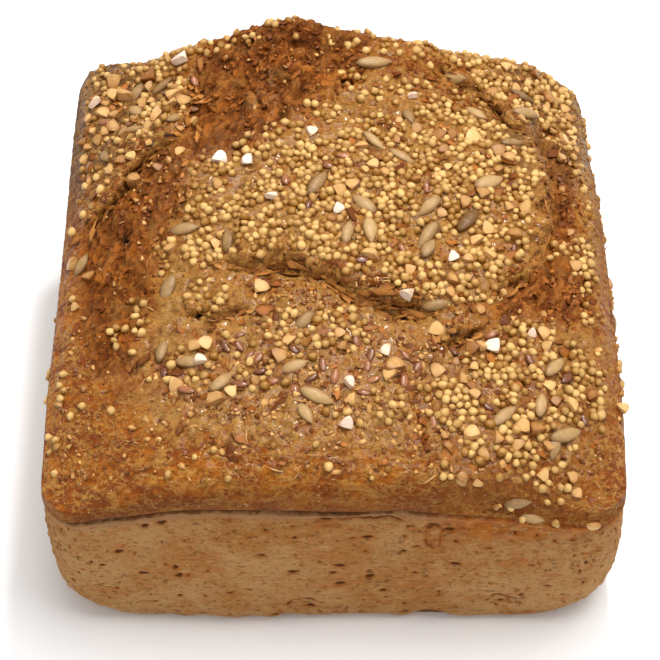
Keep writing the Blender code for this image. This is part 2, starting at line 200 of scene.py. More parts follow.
# Large seeds lie where they do on the crust: X, Y and, where it matters, the turn of the long axis from X
KERNEL_PLACES = (
    (-47, -40, 75), (-39, -44, -5), (-30, -51, 50), (-10, -47, 20), (-4, -56, -25), (-7, -61, -60),
    (-46, -20, 70), (-42, -2, 5), (-29.5, -7, 85), (-7.5, -32.5, 50), (12.5, 27.5, -45), (11, -6, -85),
    (4.5, -7, 80), (27.5, -11, 65), (44, 47, -40), (57.5, -55, 80), (62, -43, 50), (50.5, -78.05, -8),
    (55, -86.6, -14), (-4, 11, 60), (46, 14, 30), (-72.5, -4.5, 56), (-60, 52, -50), (-68, 33, -60),
    (-52, 60, 25), (38, 63, 10), (78, -18, 85), (29.5, -27.6, 10), (13, 60, 10), (23, 39, -70), (54, 33, 20),
)
WHITE_GROAT_PLACES = (
    (-6, 30), (-24, 20), (-33, 21), (-17, 6), (2, 1), (21.1, -25.5), (34.5, -12.5), (15, -42), (4, -64),
    (56, -34), (45, -39), (5, -52), (24, 48), (-46, 68), (-73, 58), (-36, -44),
)
GROAT_PLACES = (
    (66.6, -76.6), (71.5, -92), (35.1, -77.5), (39.2, -77.9), (38.7, -13.7), (33.3, -23.7), (51, 5.6), (41, -71), (35, -77), (25, 34), (59, -66), (-33, 12), (-46, -8),
    (-33, -8), (52, -4), (45, -12), (70, -8), (77, -49), (-20, -22), (-55, 41), (-48, 54), (57, 62),
    (71, 47), (-64, 60), (38, -66), (52, -62), (-74, 41), (-62, 40), (-66, 26), (-58, 56), (30, 6),
)
LINSEED_PLACES = ((-25, -52, -10), (-16, -51, 10), (1, -50, 80), (9, -55, -10), (24, -46, 60), (-20, -44, 50))

BRAN_PLACES = ((-13, -74.2, 5), (-9, -73.8, -8), (31, -72, 60))
MILLET_PLACES = ((32, -77), (57, -77.2), (58.5, -78.2), (62.2, -78.2), (61.2, -89.7), (53, -91))

# Beds of smaller or unlisted ones: middle X and Y, half sizes along X and Y, and how many lie there
MILLET_BEDS = (
    (-54, 44, 9, 8, 38), (-70, 40, 8, 28, 20), (-53, 60, 9, 8, 30), (-70, 66, 8, 10, 8), (-52, 73, 14, 5, 34),
    (-35, 16, 6, 7, 22), (-15, 24, 12, 9, 52), (-33, 2, 8, 6, 44), (-34, -8, 7, 7, 38), (-18, 4, 10, 8, 46),
    (-35, -25, 6, 5, 18), (-48, -10, 4, 6, 7), (-57, -30, 6, 9, 14), (-12, -6, 12, 8, 44), (3, 12, 14, 14, 124),
    (5, -6, 12, 10, 72), (28, 8, 16, 14, 176), (46, -2, 10, 12, 84), (47, 22, 13, 14, 120), (18, 28, 14, 10, 84),
    (38, 38, 14, 8, 62), (24, -19, 9, 6, 46), (38, -19, 10, 7, 52), (3, -36, 8, 6, 26), (-8, -36, 10, 8, 22),
    (2, -15, 9, 5, 30),
    (54, 60, 10, 9, 96), (69, 56, 8, 12, 74), (60, 73, 16, 5, 50), (26, 70, 16, 4, 12), (44, 72, 8, 5, 20),
    (73, -6, 4, 9, 24), (67, -4, 4, 4, 5), (78, 34, 4, 20, 22), (78, 64, 3, 12, 10), (76, -30, 5, 28, 24), (44, -48, 9, 9, 50),
    (56, -38, 8, 7, 44), (34, -56, 8, 8, 36), (66, -46, 9, 12, 40), (54, -64, 12, 8, 44), (44, -74, 14, 7, 16), (57, -76, 8, 2, 2),
    (-4, 38, 6, 4, 8), (-77, -20, 3, 50, 16), (-30, -46, 22, 9, 26), (10, -56, 16, 8, 18), (-66, -62, 12, 12, 5),
    (-16, -74, 34, 5, 9), (8, 71, 62, 6, 50), (16, 50, 14, 7, 22), (30, 52, 12, 5, 12),
)
KERNEL_BEDS = ((30, 14, 26, 24, 5), (48, -52, 20, 20, 3), (-56, 50, 12, 14, 3), (60, 58, 12, 12, 2))
GROAT_BEDS = (
    (28, 8, 30, 28, 28), (-60, 42, 18, 28, 28), (48, -54, 24, 24, 24), (-10, -46, 36, 12, 14),
    (62, 58, 14, 14, 10), (73, 20, 5, 40, 5), (-72, 20, 5, 36, 4),
)
LINSEED_BEDS = ((-12, -46, 34, 9, 18), (22, 4, 34, 24, 8), (48, -50, 22, 24, 7), (-58, 44, 18, 22, 5))
BRAN_BEDS = (
    (-15, -44, 38, 13, 24), (26, 8, 32, 30, 22), (48, -54, 26, 24, 20), (-60, 42, 20, 28, 36),
    (0, -68, 50, 7, 8), (62, 58, 14, 12, 8),
)
STRAND_BEDS = (
    (-12, -42, 40, 14, 50), (22, 6, 34, 28, 40), (50, -52, 26, 24, 36), (-60, 44, 18, 26, 24),
    (0, -66, 62, 12, 40), (12, -22, 30, 5, 50), (60, 56, 16, 14, 16), (-58, -2, 9, 36, 12), (69, 8, 6, 34, 8),
)
FLAP_BEDS = (
    (-18, 58, 25, 24, 170), (-58, -2, 9, 36, 60), (69, 8, 6, 34, 50), (8, -20, 28, 4, 130), (-46, 8, 5, 14, 20),
    (25, -58, 4, 18, 36), (46, 51, 9, 9, 40), (-59, 22, 6, 12, 30), (-12, -46, 40, 14, 120), (48, -54, 26, 24, 100),
    (26, 8, 32, 30, 120), (22, 58, 18, 10, 60), (61, -20, 14, 8, 44),
)
TORN_CRUMB_BEDS = (
    (-18, 58, 25, 24, 230), (-56, 0, 10, 34, 130), (69, 10, 7, 32, 90), (10, -23, 28, 5, 100), (46, 51, 9, 9, 40),
    (22, 60, 18, 9, 40), (61, -20, 14, 9, 90),
)
CRUMB_BEDS = (
    (-18, 58, 24, 22, 60), (-56, 0, 10, 34, 40), (69, 10, 7, 32, 40), (-10, -48, 38, 14, 460),
    (24, -58, 5, 18, 70), (0, 5, 56, 34, 560), (52, -52, 26, 26, 340), (10, -27, 26, 5, 90),
    (-10, -68, 60, 10, 300), (-62, 44, 18, 28, 220), (58, 58, 18, 16, 110), (-70, -50, 8, 24, 90),
)

# Pores baked into the walls: how many, and their half length and half height
PORES = 900
PORE_HALF_LENGTH = (0.5, 1.6)
PORE_HALF_HEIGHT = (0.5, 1.0)

# At the front right the crust runs down over the lip and leaves no groove
RUN_START = 18.0
RUN_END = 40.0
LIP_REACH = 2.5
SEED_OF_DRAWS = 41

# Small grains gather in clusters of this size, with this much of the crust left free
CLUSTER = 5.0
CLUSTER_GAP = -0.16
RIM_SHADE = 0.5
SINK_SPREAD = 0.1
SUNK_AT_RIM = 0.6
KERNEL_END = 2.8
LISTED_TONES = 0.6

# Edges sharper than this stay crisp: on groats, flakes and crumbs, and on the crust and the walls, in degrees
SHARP_ANGLE = 32
SEAM_ANGLE = 72

# The camera that took the view: its place, pitch and focal length in pixels of a 660 pixel frame
CAMERA_PLACE = (-0.4, -377.6, 490.8)
CAMERA_PITCH = 50.0
FOCAL_PIXELS = 1916.0
FRAME_PIXELS = 660.0
SENSOR = 36.0


def smooth(share):
    """Eases a share from 0 to 1."""
    share = np.clip(share, 0.0, 1.0)
    return share * share * (3.0 - 2.0 * share)


def curve(points, at):
    """A smooth curve through (position, value) points, read at each position."""
    places, values = np.array(points, float).T
    slopes = np.gradient(values, places)
    index = np.clip(np.searchsorted(places, at) - 1, 0, len(places) - 2)
    step = places[index + 1] - places[index]
    share = np.clip((at - places[index]) / step, 0.0, 1.0)
    rise = values[index + 1] - values[index]
    start_bend = (1 - share) * (slopes[index] * step - rise)
    end_bend = share * (slopes[index + 1] * step - rise)
    return values[index] + share * rise + share * (1 - share) * (start_bend - end_bend)


def nearest(line, x, y):
    """For each place: signed distance from the line, its left side positive, and the share along the line."""
    best = np.full(np.shape(x), np.inf)
    side = np.ones(np.shape(x))
    along = np.zeros(np.shape(x))
    total = sum(math.dist(start, end) for start, end in zip(line, line[1:]))
    passed = 0.0
    for (x0, y0), (x1, y1) in zip(line, line[1:]):
        run_x, run_y = x1 - x0, y1 - y0
        length = math.hypot(run_x, run_y)
        share = np.clip(((x - x0) * run_x + (y - y0) * run_y) / length**2, 0, 1)
        off_x, off_y = x - x0 - share * run_x, y - y0 - share * run_y
        distance = np.hypot(off_x, off_y)
        closer = distance < best
        side = np.where(closer, np.sign(run_x * off_y - run_y * off_x), side)
        along = np.where(closer, (passed + share * length) / total, along)
        best = np.minimum(best, distance)
        passed += length
    return best * side, along


def inside(corners, x, y):
    """Whether each place lies inside the outline."""
    within = np.zeros(np.shape(x), bool)
    for (x0, y0), (x1, y1) in zip(corners, corners[1:] + corners[:1]):
        if y0 != y1:
            within ^= ((y0 > y) != (y1 > y)) & (x < x0 + (x1 - x0) * (y - y0) / (y1 - y0))
    return within


def zone(corners, soft, x, y):
    """How far each place belongs to a zone, from 0 outside to 1 inside, over a soft edge."""
    distance = np.abs(nearest(corners + corners[:1], x, y)[0])
    return smooth(0.5 + np.where(inside(corners, x, y), distance, -distance) / (2 * soft))


def lumps(x, y, z, size, offset):
    """Even noise of the given lump size, about -1 to 1."""
    spots = zip(np.ravel(x) / size + offset, np.ravel(y) / size, np.ravel(z) / size)
    return np.array([noise.noise(Vector(spot)) for spot in spots]).reshape(np.shape(x))


def fibres(x, y, z, size, stretch, angle, offset):
    """Sharp winding ridges drawn out at an angle from X, about -1 to 1."""
    turn = math.radians(angle)
    along = (x * math.cos(turn) + y * math.sin(turn)) / stretch
    across = y * math.cos(turn) - x * math.sin(turn) + 0.6 * size * lumps(x, y, z, 1.8 * size, offset)
    return 1 - 4.5 * np.minimum(np.abs(lumps(along, across, z, size, offset + 7)), 0.44)


def scales(x, y, z, size, stretch, angle, where):
    """Overlapping torn scales, drawn out at an angle from X and each leaning its own way: height and tone."""
    turn = math.radians(angle)
    along = (x * math.cos(turn) + y * math.sin(turn)) / (size * stretch)
    across = (y * math.cos(turn) - x * math.sin(turn)) / size
    height, tone = np.zeros(len(x)), np.full(len(x), 0.5)
    for index in np.flatnonzero(where > 0.02):
        spot = Vector((along[index], across[index], z[index] / size))
        spot += 0.4 * noise.noise_vector(1.3 * spot)
        middle = noise.voronoi(spot)[1][0]
        lean = 2 * noise.cell_vector(9.7 * middle) - Vector((1, 1, 1))
        height[index] = 0.5 * noise.cell(5.3 * middle) + 0.8 * lean.dot(spot - middle)
        tone[index] = 0.5 + 0.5 * noise.cell(7.1 * middle)
    return height, tone


def ledge(values, x, y, broken):
    """The crust's height at a torn edge, its torn face, the painted shade in its crevice and between its layers, and
    the edge's lean over it.
    """
    line, rise, sink, reach, face, dark = values
    distance, along = nearest(line, x, y)
    ends = smooth(along / 0.12) * smooth((1 - along) / 0.12)
    lifted = rise * np.exp(-((np.maximum(distance, 0) / reach) ** 2))
    foot = np.exp(-((np.minimum(distance, 0) / FOOT_WIDTH) ** 2))
    blend = smooth(distance / face + 0.5)
    height = (blend * lifted - (1 - blend) * foot * sink) * ends
    torn = ends * smooth(1.5 - np.abs(distance) / face)
    # Dark lines at the foot of the torn face and between its layers: painted shade.
    foot_line, middle_line, top_line = (
        dark * ends * np.exp(-(((distance - place * face) / 0.42) ** 2)) for place in LAYER_LINES
    )
    crevice = np.maximum(foot_line * smooth(0.8 + 1.5 * broken), 0.8 * middle_line * smooth(0.2 + 3 * broken))
    crevice = np.maximum(crevice, 0.8 * top_line * smooth(0.1 - 3 * broken))
    return height, torn, crevice, dark * ends * blend * np.exp(-((np.maximum(distance, 0) / 1.6) ** 2))


def hollow(middle_x, middle_y, half_x, half_y, depth, x, y):
    return -depth * np.exp(-(((x - middle_x) / half_x) ** 2) - ((y - middle_y) / half_y) ** 2)


def crease(line, depth, x, y):
    """How far the crust sinks along a fine crease."""
    distance, along = nearest(line, x, y)
    return depth * np.exp(-((distance / CREASE_WIDTH) ** 2)) * smooth(along / 0.2) * smooth((1 - along) / 0.2)


def buried(x, y, z, size, where):
    """Grains under the film of the crust: how far each lifts it, and each one's tone."""
    lift, tone = np.zeros(len(x)), np.full(len(x), 0.5)
    for index in np.flatnonzero(where > 0.02):
        distances, middles = noise.voronoi(Vector((x[index], y[index], z[index])) / size)
        lift[index] = max(0.0, 1 - (distances[0] / 0.55) ** 2)
        tone[index] = 0.5 + 0.5 * noise.cell(7.1 * middles[0])
    return lift, tone


def roughness(x, y):
    """How strongly the crust is broken up: most on the burst, least on the bare front."""
    burst = smooth((y - 28) / 18) * smooth((18 - x) / 18) * smooth((x + 48) / 8)
    tears = 0.5 * smooth((x - 58) / 8) * smooth((y + 32) / 14)
    front = 0.5 * smooth((-y - 52) / 14)
    return 0.7 + 1.4 * burst + tears - 0.6 * front


def ragged(x, y):
    """Places moved a little by noise, so that whatever is laid out on them gets a ragged edge."""
    fall = np.where(np.asarray(y) > STEEP_BACK[0], np.minimum(curve(SPINE, y) - STEEP_BACK[1], 0), 0)
    moved_x = x + 1.1 * lumps(x, y, fall, 6.0, 21.3) + 0.6 * lumps(x, y, fall, 2.1, 33.1)
    return moved_x, y + 1.3 * lumps(x, y, fall, 6.0, 41.7) + 0.7 * lumps(x, y, fall, 2.1, 53.9)


def crust_rise(x, y):
    """The crust's rise above the lip, and the masks of its torn parts."""
    flat = np.zeros(np.shape(x))
    back = smooth((y - 12) / 48)
    arch = (1 - back) * curve(ARCH_MIDDLE, x) + back * curve(ARCH_BACK, x)
    inward = smooth(1.15 - np.maximum(np.abs(x) / WIDTH, np.abs(y) / LENGTH) ** 6 * 64)
    ragged_x, ragged_y = ragged(x, y)
    broken = lumps(x, y, flat, 4.0, 61.0)
    relief, faces, crevice, lean = flat.copy(), flat.copy(), flat.copy(), flat.copy()
    for values in LEDGES.values():
        height, torn, deep, over = ledge(values, ragged_x, ragged_y, broken)
        relief += height
        faces = np.maximum(faces, torn)
        crevice = np.maximum(crevice, deep)
        lean = np.maximum(lean, over)
    for line, depth, dark in CREASES:
        sunk = crease(line, depth, ragged_x, ragged_y)
        relief -= sunk
        crevice = np.maximum(crevice, dark * sunk / depth * smooth(0.8 + 1.5 * broken))
    holes = -sum(hollow(*values, ragged_x, ragged_y) for values in HOLES)
    crevice = np.maximum(crevice, holes)
    relief += sum(hollow(*values, x, y) for values in HOLLOWS) - HOLE_DEPTH * holes
    relief += roughness(x, y) * (1.3 * lumps(x, y, flat, 13.0, 3.1) + 0.9 * lumps(x, y, flat, 5.5, 8.7))
    burst = zone(BURST, 2.5, ragged_x, ragged_y)
    left, right = zone(LEFT_TEAR, 3.5, ragged_x, ragged_y), zone(RIGHT_TEAR, 2.5, ragged_x, ragged_y)
    masks = {
        "burst": burst,
        "tear": np.maximum(left, right) * (1 - burst),
        "face": faces * (1 - burst),
        "crevice": crevice,
        "painted_sheen": -sum(hollow(*values, ragged_x, ragged_y) for values in SHEEN_SPOTS),
        "browned": -sum(hollow(*values, ragged_x, ragged_y) for values in BROWNED),
        "lean": lean * inward,
        # Darker, more olive crust at the back side corners: partly browner crust, partly painted shade.
        "baked": smooth((np.abs(x) - 38) / 24) * smooth((y - 6) / 34),
    }
    masks["torn"] = np.maximum(burst, masks["tear"])
    masks["dough"] = zone(DOUGH, 4.0, ragged_x, ragged_y) * (1 - masks["torn"])
    return curve(SPINE, y) * arch + relief * inward, inward, masks


def lip_height(x, y):
    """The lip climbs a little to the back and sags at the two front corners."""
    corner = smooth((np.abs(x) - 36) / 40) * smooth((-y - 40) / 38)
    return LIP_HEIGHT + 2.0 * smooth((y + 60) / 120) - LIP_SAG * corner


def footprint(u, v, half_width, half_length, radius):
    """Places (u, v) of the square -1..1 in a rectangle with rounded corners."""
    x, y = u * half_width, v * half_length
    over_x = np.clip((np.abs(x) - half_width + radius) / radius, 0, 1)
    over_y = np.clip((np.abs(y) - half_length + radius) / radius, 0, 1)
    round_x = (half_width - radius) + radius * over_x * np.sqrt(1 - over_y**2 / 2)
    round_y = (half_length - radius) + radius * over_y * np.sqrt(1 - over_x**2 / 2)
    x = np.where(over_x > 0, np.sign(x) * round_x, x)
    y = np.where(over_y > 0, np.sign(y) * round_y, y)
    return x, y


def crowd(u):
    """Draws evenly spaced places towards the edges, where the crust turns down."""
    return (1 - EDGE_CROWDING) * u + EDGE_CROWDING * np.sin(u * math.pi / 2)


def crust_run(u, v):
    """Where the crust runs down over the front of the lip: 1 at the front right, 0 elsewhere."""
    x = crowd(u) * WIDTH / 2
    return smooth((x - RUN_START) / (RUN_END - RUN_START)) * smooth((-v - 0.7) / 0.25)


def lip_cavity(x, v):
    """How deep the groove is torn in at places along the front."""
    deep = sum(depth * np.exp(-(((x - place) / half_width) ** 4)) for place, half_width, depth in LIP_CAVITIES)
    return deep * smooth((-v - 0.9) / 0.1)


def outline(u, v, share, outset_x, outset_y, radius):
    """The loaf's outline at a share of the lip's height: X, Y and Z of the places (u, v)."""
    across, along = crowd(u), crowd(v)
    x, y = footprint(across, along, WIDTH / 2 + outset_x, LENGTH / 2 + outset_y, radius)
    x = x + across * np.where(u < 0, curve(LEFT_SIDE, y), curve(RIGHT_SIDE, y))
    lip = lip_height(x, y)
    swell = 1.2 * lumps(x, y, lip * share, 46.0, 1.7) * np.where(share < 1, 1, 0)
    y = y - 1.4 * crust_run(u, v) * smooth((share - 0.86) / 0.06) * smooth((1 - share) / 0.03)
    groove = np.exp(-(((share - GROOVE[0]) / GROOVE_REACH) ** 2)) * (1 - crust_run(u, v))
    flat = np.zeros(np.shape(x))
    y = y + groove * lip_cavity(x, v)
    swell = swell - groove * 0.5 * (1 + lumps(x, y, flat, 4.5, 79.0))
    height = lip * share + groove * GROOVE_WANDER * lumps(x, y, flat, 7.0, 77.0)
    return x + swell * across, y + swell * along, height


def set_places(mesh, x, y, z):
    """Moves a mesh's points to places given in the loaf's plan."""
    places = np.column_stack((x - MIDDLE[0], y - MIDDLE[1], z)) * METRES
    mesh.vertices.foreach_set("co", places.ravel())
    mesh.update()


def get_rows(values, name):
    """One row of numbers for each axis, read from a mesh's points."""
    rows = np.empty(len(values) * 3)
    values.foreach_get(name, rows)
    return rows.reshape(-1, 3).T


def set_mask(mesh, name, values):
    """Keeps one number for each point, which the finish reads by name."""
    mask = mesh.attributes.new(name, "FLOAT", "POINT")
    mask.data.foreach_set("value", np.asarray(values, np.float32))


def piece(name, mesh, finish, sharp_angle=None):
    """Shows a finished mesh as a piece of the loaf, smooth but for the edges over an angle in degrees."""
    shown = bpy.data.objects.new(name, mesh)
    bpy.context.scene.collection.objects.link(shown)
    mesh.materials.clear()
    mesh.materials.append(finish)
    mesh.shade_smooth()
    if sharp_angle:
        mesh.set_sharp_from_angle(angle=math.radians(sharp_angle))
    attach(shown, "root")
    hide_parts("seeded_loaf")


def draw_down(form, edge, levels):
    """Draws an edge loop down through numbered levels, each kept in Z, and returns the last loop."""
    for level in levels:
        drawn = bmesh.ops.extrude_edge_only(form, edges=edge)["geom"]
        edge = [part for part in drawn if isinstance(part, bmesh.types.BMEdge)]
        for corner in (part for part in drawn if isinstance(part, bmesh.types.BMVert)):
            corner.co.z = -level
    return edge


def closed_mesh(form, name):
    """A mesh from a closed form, its faces outwards."""
    bmesh.ops.recalc_face_normals(form, faces=form.faces)
    mesh = bpy.data.meshes.new(name)
    form.to_mesh(mesh)
    form.free()
    return mesh


def crust_mesh():
    """The browned top of the loaf down to the groove under its lip, and the even surface that its seeds lie on."""
    form = bmesh.new()
    bmesh.ops.create_grid(form, x_segments=CRUST_CELLS, y_segments=CRUST_CELLS, size=1.0)
    edge = draw_down(form, [edge for edge in form.edges if edge.is_boundary], range(1, SKIRT_ROWS + 1))
    bmesh.ops.contextual_create(form, geom=edge)
    mesh = closed_mesh(form, "crust")
    u, v, depth = get_rows(mesh.vertices, "co")
    down = -depth / SKIRT_ROWS
    share = 1 - (1 - GROOVE[0]) * down
    skirt = np.array((GROOVE, UNDER_LIP, LIP))
    x, y, z = outline(u, v, share, *(curve(skirt[:, (0, column)], share) for column in (1, 2, 3)))
    rise, inward, masks = crust_rise(x, y)
    top = (down < 0.5 / SKIRT_ROWS) * 1.0
    z += top * rise
    set_places(mesh, x, y, z)
    even = bmesh.new()
    even.from_mesh(mesh)
    tree = BVHTree.FromBMesh(even)
    even.free()

    bare = 1 - np.maximum(masks["torn"], masks["dough"])
    torn = np.maximum(masks["burst"], masks["tear"])
    plate, plate_tone = scales(x, y, z, 4.6, 1.7, 60, masks["burst"])
    rip, rip_tone = scales(x, y, z, 2.2, 2.2, 72, torn)
    small_rip, small_tone = scales(x, y, z, 1.3, 1.5, 50, torn)
    layer, layer_tone = scales(x, y, z, 1.7, 3.6, -12, masks["face"] * (1 - masks["tear"]))
    grains = masks["dough"] + 0.8 * masks["baked"] * (1 - masks["torn"]) + 0.5 * bare
    grain, grain_tone = buried(x, y, z, 2.3, grains)
    pebbles = lumps(x, y, z, 3.1, 91.0) + 0.7 * lumps(x, y, z, 1.5, 93.0)
    film = lumps(x / 2.2, y, z, 1.3, 71.0)
    flaky, flaky_tone = scales(x, y, z, 2.1, 1.4, 20, np.maximum(masks["dough"], masks["baked"]))
    torn_fibres = 0.6 * fibres(x, y, z, 4.2, 2.4, 68, 11.0) + 0.4 * fibres(x, y, z, 2.1, 2.0, 50, 31.0)
    fine = masks["burst"] * (1.0 * plate + 0.5 * rip + 0.35 * small_rip + 0.9 * torn_fibres)
    fine += masks["tear"] * (0.6 * rip + 0.5 * small_rip + 0.8 * torn_fibres)
    fine += masks["face"] * (1 - masks["tear"]) * 1.4 * layer
    fine += masks["dough"] * 0.35 * flaky
    fine += masks["dough"] * 0.4 * pebbles + np.clip(grains, 0, 1) * 0.55 * grain * (grain_tone > 0.35)
    fine += bare * (0.35 * pebbles + 0.45 * film) + 0.3 * masks["burst"] * pebbles + 0.25 * masks["dough"] * film
    fine -= 1.3 * masks["crevice"]
    normal_x, normal_y, normal_z = get_rows(mesh.vertex_normals, "vector")
    rim = smooth((np.maximum(np.abs(x) / WIDTH, np.abs(y) / LENGTH) - 0.4) / 0.05)
    steep = rim * smooth((0.8 - normal_z) / 0.3)
    fine *= (1 - down) * (1 - 0.75 * steep)
    flat = np.maximum(np.hypot(normal_x, normal_y), 0.2)
    over = OVERHANG * masks.pop("lean") * top
    set_places(
        mesh, x + fine * normal_x + over * normal_x / flat, y + fine * normal_y + over * normal_y / flat,
        z + fine * normal_z,
    )
    masks["face"] *= 1 - masks["tear"]
    ripped_tone = 0.4 * plate_tone + 0.35 * rip_tone + 0.25 * small_tone
    tone = np.where(masks["face"] > 0.3, layer_tone, np.where(torn > 0.3, ripped_tone, flaky_tone))
    masks["scale"] = tone + (0.47 - tone) * steep
    masks["relief_light_and_shade"] = 0.5 + 0.5 * np.clip(fine * 1.6, -1, 1)
    masks["grain"] = np.clip(grains, 0, 1) * grain * (grain_tone > 0.35) * (1 - steep)
    run = 1 - crust_run(u, v)
    masks["lip"] = np.maximum((1 - top), smooth((1.8 - rise) / 2)) * run
    # The groove under the lip and its cavities take painted shadow.
    masks["groove"] = smooth((down - 0.3) / 0.4) * run * (0.8 + 0.5 * lumps(x, y, z, 5.0, 63.0))
    masks["groove"] = np.maximum(masks["groove"], 0.8 * lip_cavity(x, v) * smooth((down - 0.1) / 0.2))
    masks["front"] = bare
    masks["steep"] = steep
    for name, values in masks.items():
        set_mask(mesh, name, values)
    return mesh, tree


def pore_dents(along, z, draws):
    """How deep the wall is pitted at places along its round and up its height."""
    dents = np.zeros(np.shape(along))
    along = along + 0.9 * lumps(along, z, z, 1.8, 3.3)
    z = z + 0.7 * lumps(along, z, z, 1.5, 8.1)
    for _ in range(PORES):
        middle = draws.uniform(0, 4 * WIDTH)
        height = draws.uniform(3, LIP_HEIGHT - 6)
        half_length = PORE_HALF_LENGTH[0] + (PORE_HALF_LENGTH[1] - PORE_HALF_LENGTH[0]) * draws.random() ** 3
        half_height = draws.uniform(*PORE_HALF_HEIGHT)
        near = np.abs(along - middle) < 3 * half_length
        off = ((along[near] - middle) / half_length) ** 2 + ((z[near] - height) / half_height) ** 2
        dents[near] = np.maximum(dents[near], np.exp(-off) * min(1.0, 0.4 + half_length * 0.35))
    return dents


def wall_mesh(draws):
    """The tin-baked sides from the groove to the flat base, closed on top inside the crust."""
    form = bmesh.new()
    bmesh.ops.create_circle(form, segments=4 * WALL_CELLS, radius=1.0)
    rim = list(form.edges)
    edge = draw_down(form, rim, range(1, WALL_ROWS + 1))
    bmesh.ops.contextual_create(form, geom=edge)
    bmesh.ops.contextual_create(form, geom=rim)
    mesh = closed_mesh(form, "walls")
    ring_x, ring_y, depth = get_rows(mesh.vertices, "co")
    quarter = np.arctan2(ring_y, ring_x) / (math.pi / 2) % 4
    side, share = np.floor(quarter).astype(int), quarter % 1
    end = np.ones(len(share))
    u = np.choose(side, (1 - 2 * share, -end, -1 + 2 * share, end))
    v = np.choose(side, (end, 1 - 2 * share, -end, -1 + 2 * share))
    height = GROOVE[0] * (1 + depth / WALL_ROWS) ** 1.1
    levels = np.array(WALL[::-1])
    x, y, z = outline(u, v, height, *(curve(levels[:, (0, column)], height) for column in (1, 2, 3)))
    around = quarter * WIDTH
    pores = pore_dents(around, z, draws)
    inset = 1.0 * pores - 0.5 * lumps(around / 2.5, z, z, 1.8, 5.0) - 0.5 * lumps(around / 1.5, z, z, 5.0, 6.0)
    for place, level, half_width, half_height, deep in DENTS:
        dent = np.exp(-(((x - place) / half_width) ** 2) - ((z - level) / half_height) ** 2)
        inset += deep * dent * smooth((-v - 0.9) / 0.1)
    for line, deep in WALL_SCARS:
        away = np.abs(nearest(line, x + 0.9 * lumps(x, z, z, 2.5, 4.1), z + 0.9 * lumps(x, z, z, 2.5, 7.9))[0])
        away = away + 0.4 * lumps(x, z, z, 1.6, 2.2)
        scar = np.exp(-((away / SCAR_WIDTH) ** 2)) * smooth((-v - 0.9) / 0.1)
        inset += deep * scar
        pores = np.maximum(pores, deep * scar)
    inset *= smooth(height / 0.02) * smooth((GROOVE[0] - height) / 0.02) * (depth < 0)
    corner = np.hypot(u, v)
    foot = smooth((5 - z) / 5) * smooth((-v - 0.9) / 0.1) * (np.abs(ring_y) > 0.1)
    z += foot * sum(lift * np.exp(-(((x - place) / half_width) ** 4)) for place, half_width, lift in NOTCHES)
    set_places(mesh, x - inset * u / corner, y - inset * v / corner, z)
    lower = z + 3.0 * lumps(x, y, z, 9.0, 12.0) + 1.2 * lumps(x, y, z, 3.0, 14.0)
    set_mask(mesh, "pore", pores)
    set_mask(mesh, "up", height / GROOVE[0])
    set_mask(mesh, "centre", 1 - np.abs(2 * share - 1))
    set_mask(mesh, "run", crust_run(u, v) * smooth((lower - 43) / 8))
    return mesh


def display(red, green, blue):
    """A colour as it looks on screen, 0 to 255, as the light it reflects."""
    shares = (part / 255 for part in (red, green, blue))
    linear = (part / 12.92 if part <= 0.04045 else ((part + 0.055) / 1.055) ** 2.4 for part in shares)
    return (*linear, 1.0)


GOLD = display(190, 106, 12)
AMBER = display(156, 72, 2)
UMBER = display(94, 44, 2)
BACK_CORNER_BROWN_AND_SHADE = display(110, 78, 40)
FILM = display(218, 160, 76)
PAINTED_GLINT = display(244, 208, 156)
PALE_DOUGH = display(204, 148, 76)
BROWN_DOUGH = display(152, 100, 42)
RUSTY_DOUGH = display(170, 86, 22)
PINK_SHEEN = display(214, 166, 128)
BROWNED_FILM = display(142, 70, 6)
OLIVE_DOUGH = display(158, 122, 54)
BURIED_GRAIN = display(198, 150, 80)
TORN = display(140, 75, 18)
TORN_DEEP = display(104, 48, 4)
TORN_PALE = display(184, 118, 50)
TORN_ORANGE = display(176, 98, 26)
TORN_OLIVE = display(120, 86, 38)
CREVICE_SHADE = display(76, 40, 12)
LIP_BROWN = display(144, 82, 26)
GROOVE_SHADOW = display(108, 62, 26)
TIN_PALE = display(188, 142, 88)
TIN_WARM = display(174, 116, 58)
TIN_BAND = display(164, 120, 80)
TIN_DOTS = display(198, 156, 98)
PORE_SHADE_AND_FLECKS = display(80, 40, 8)


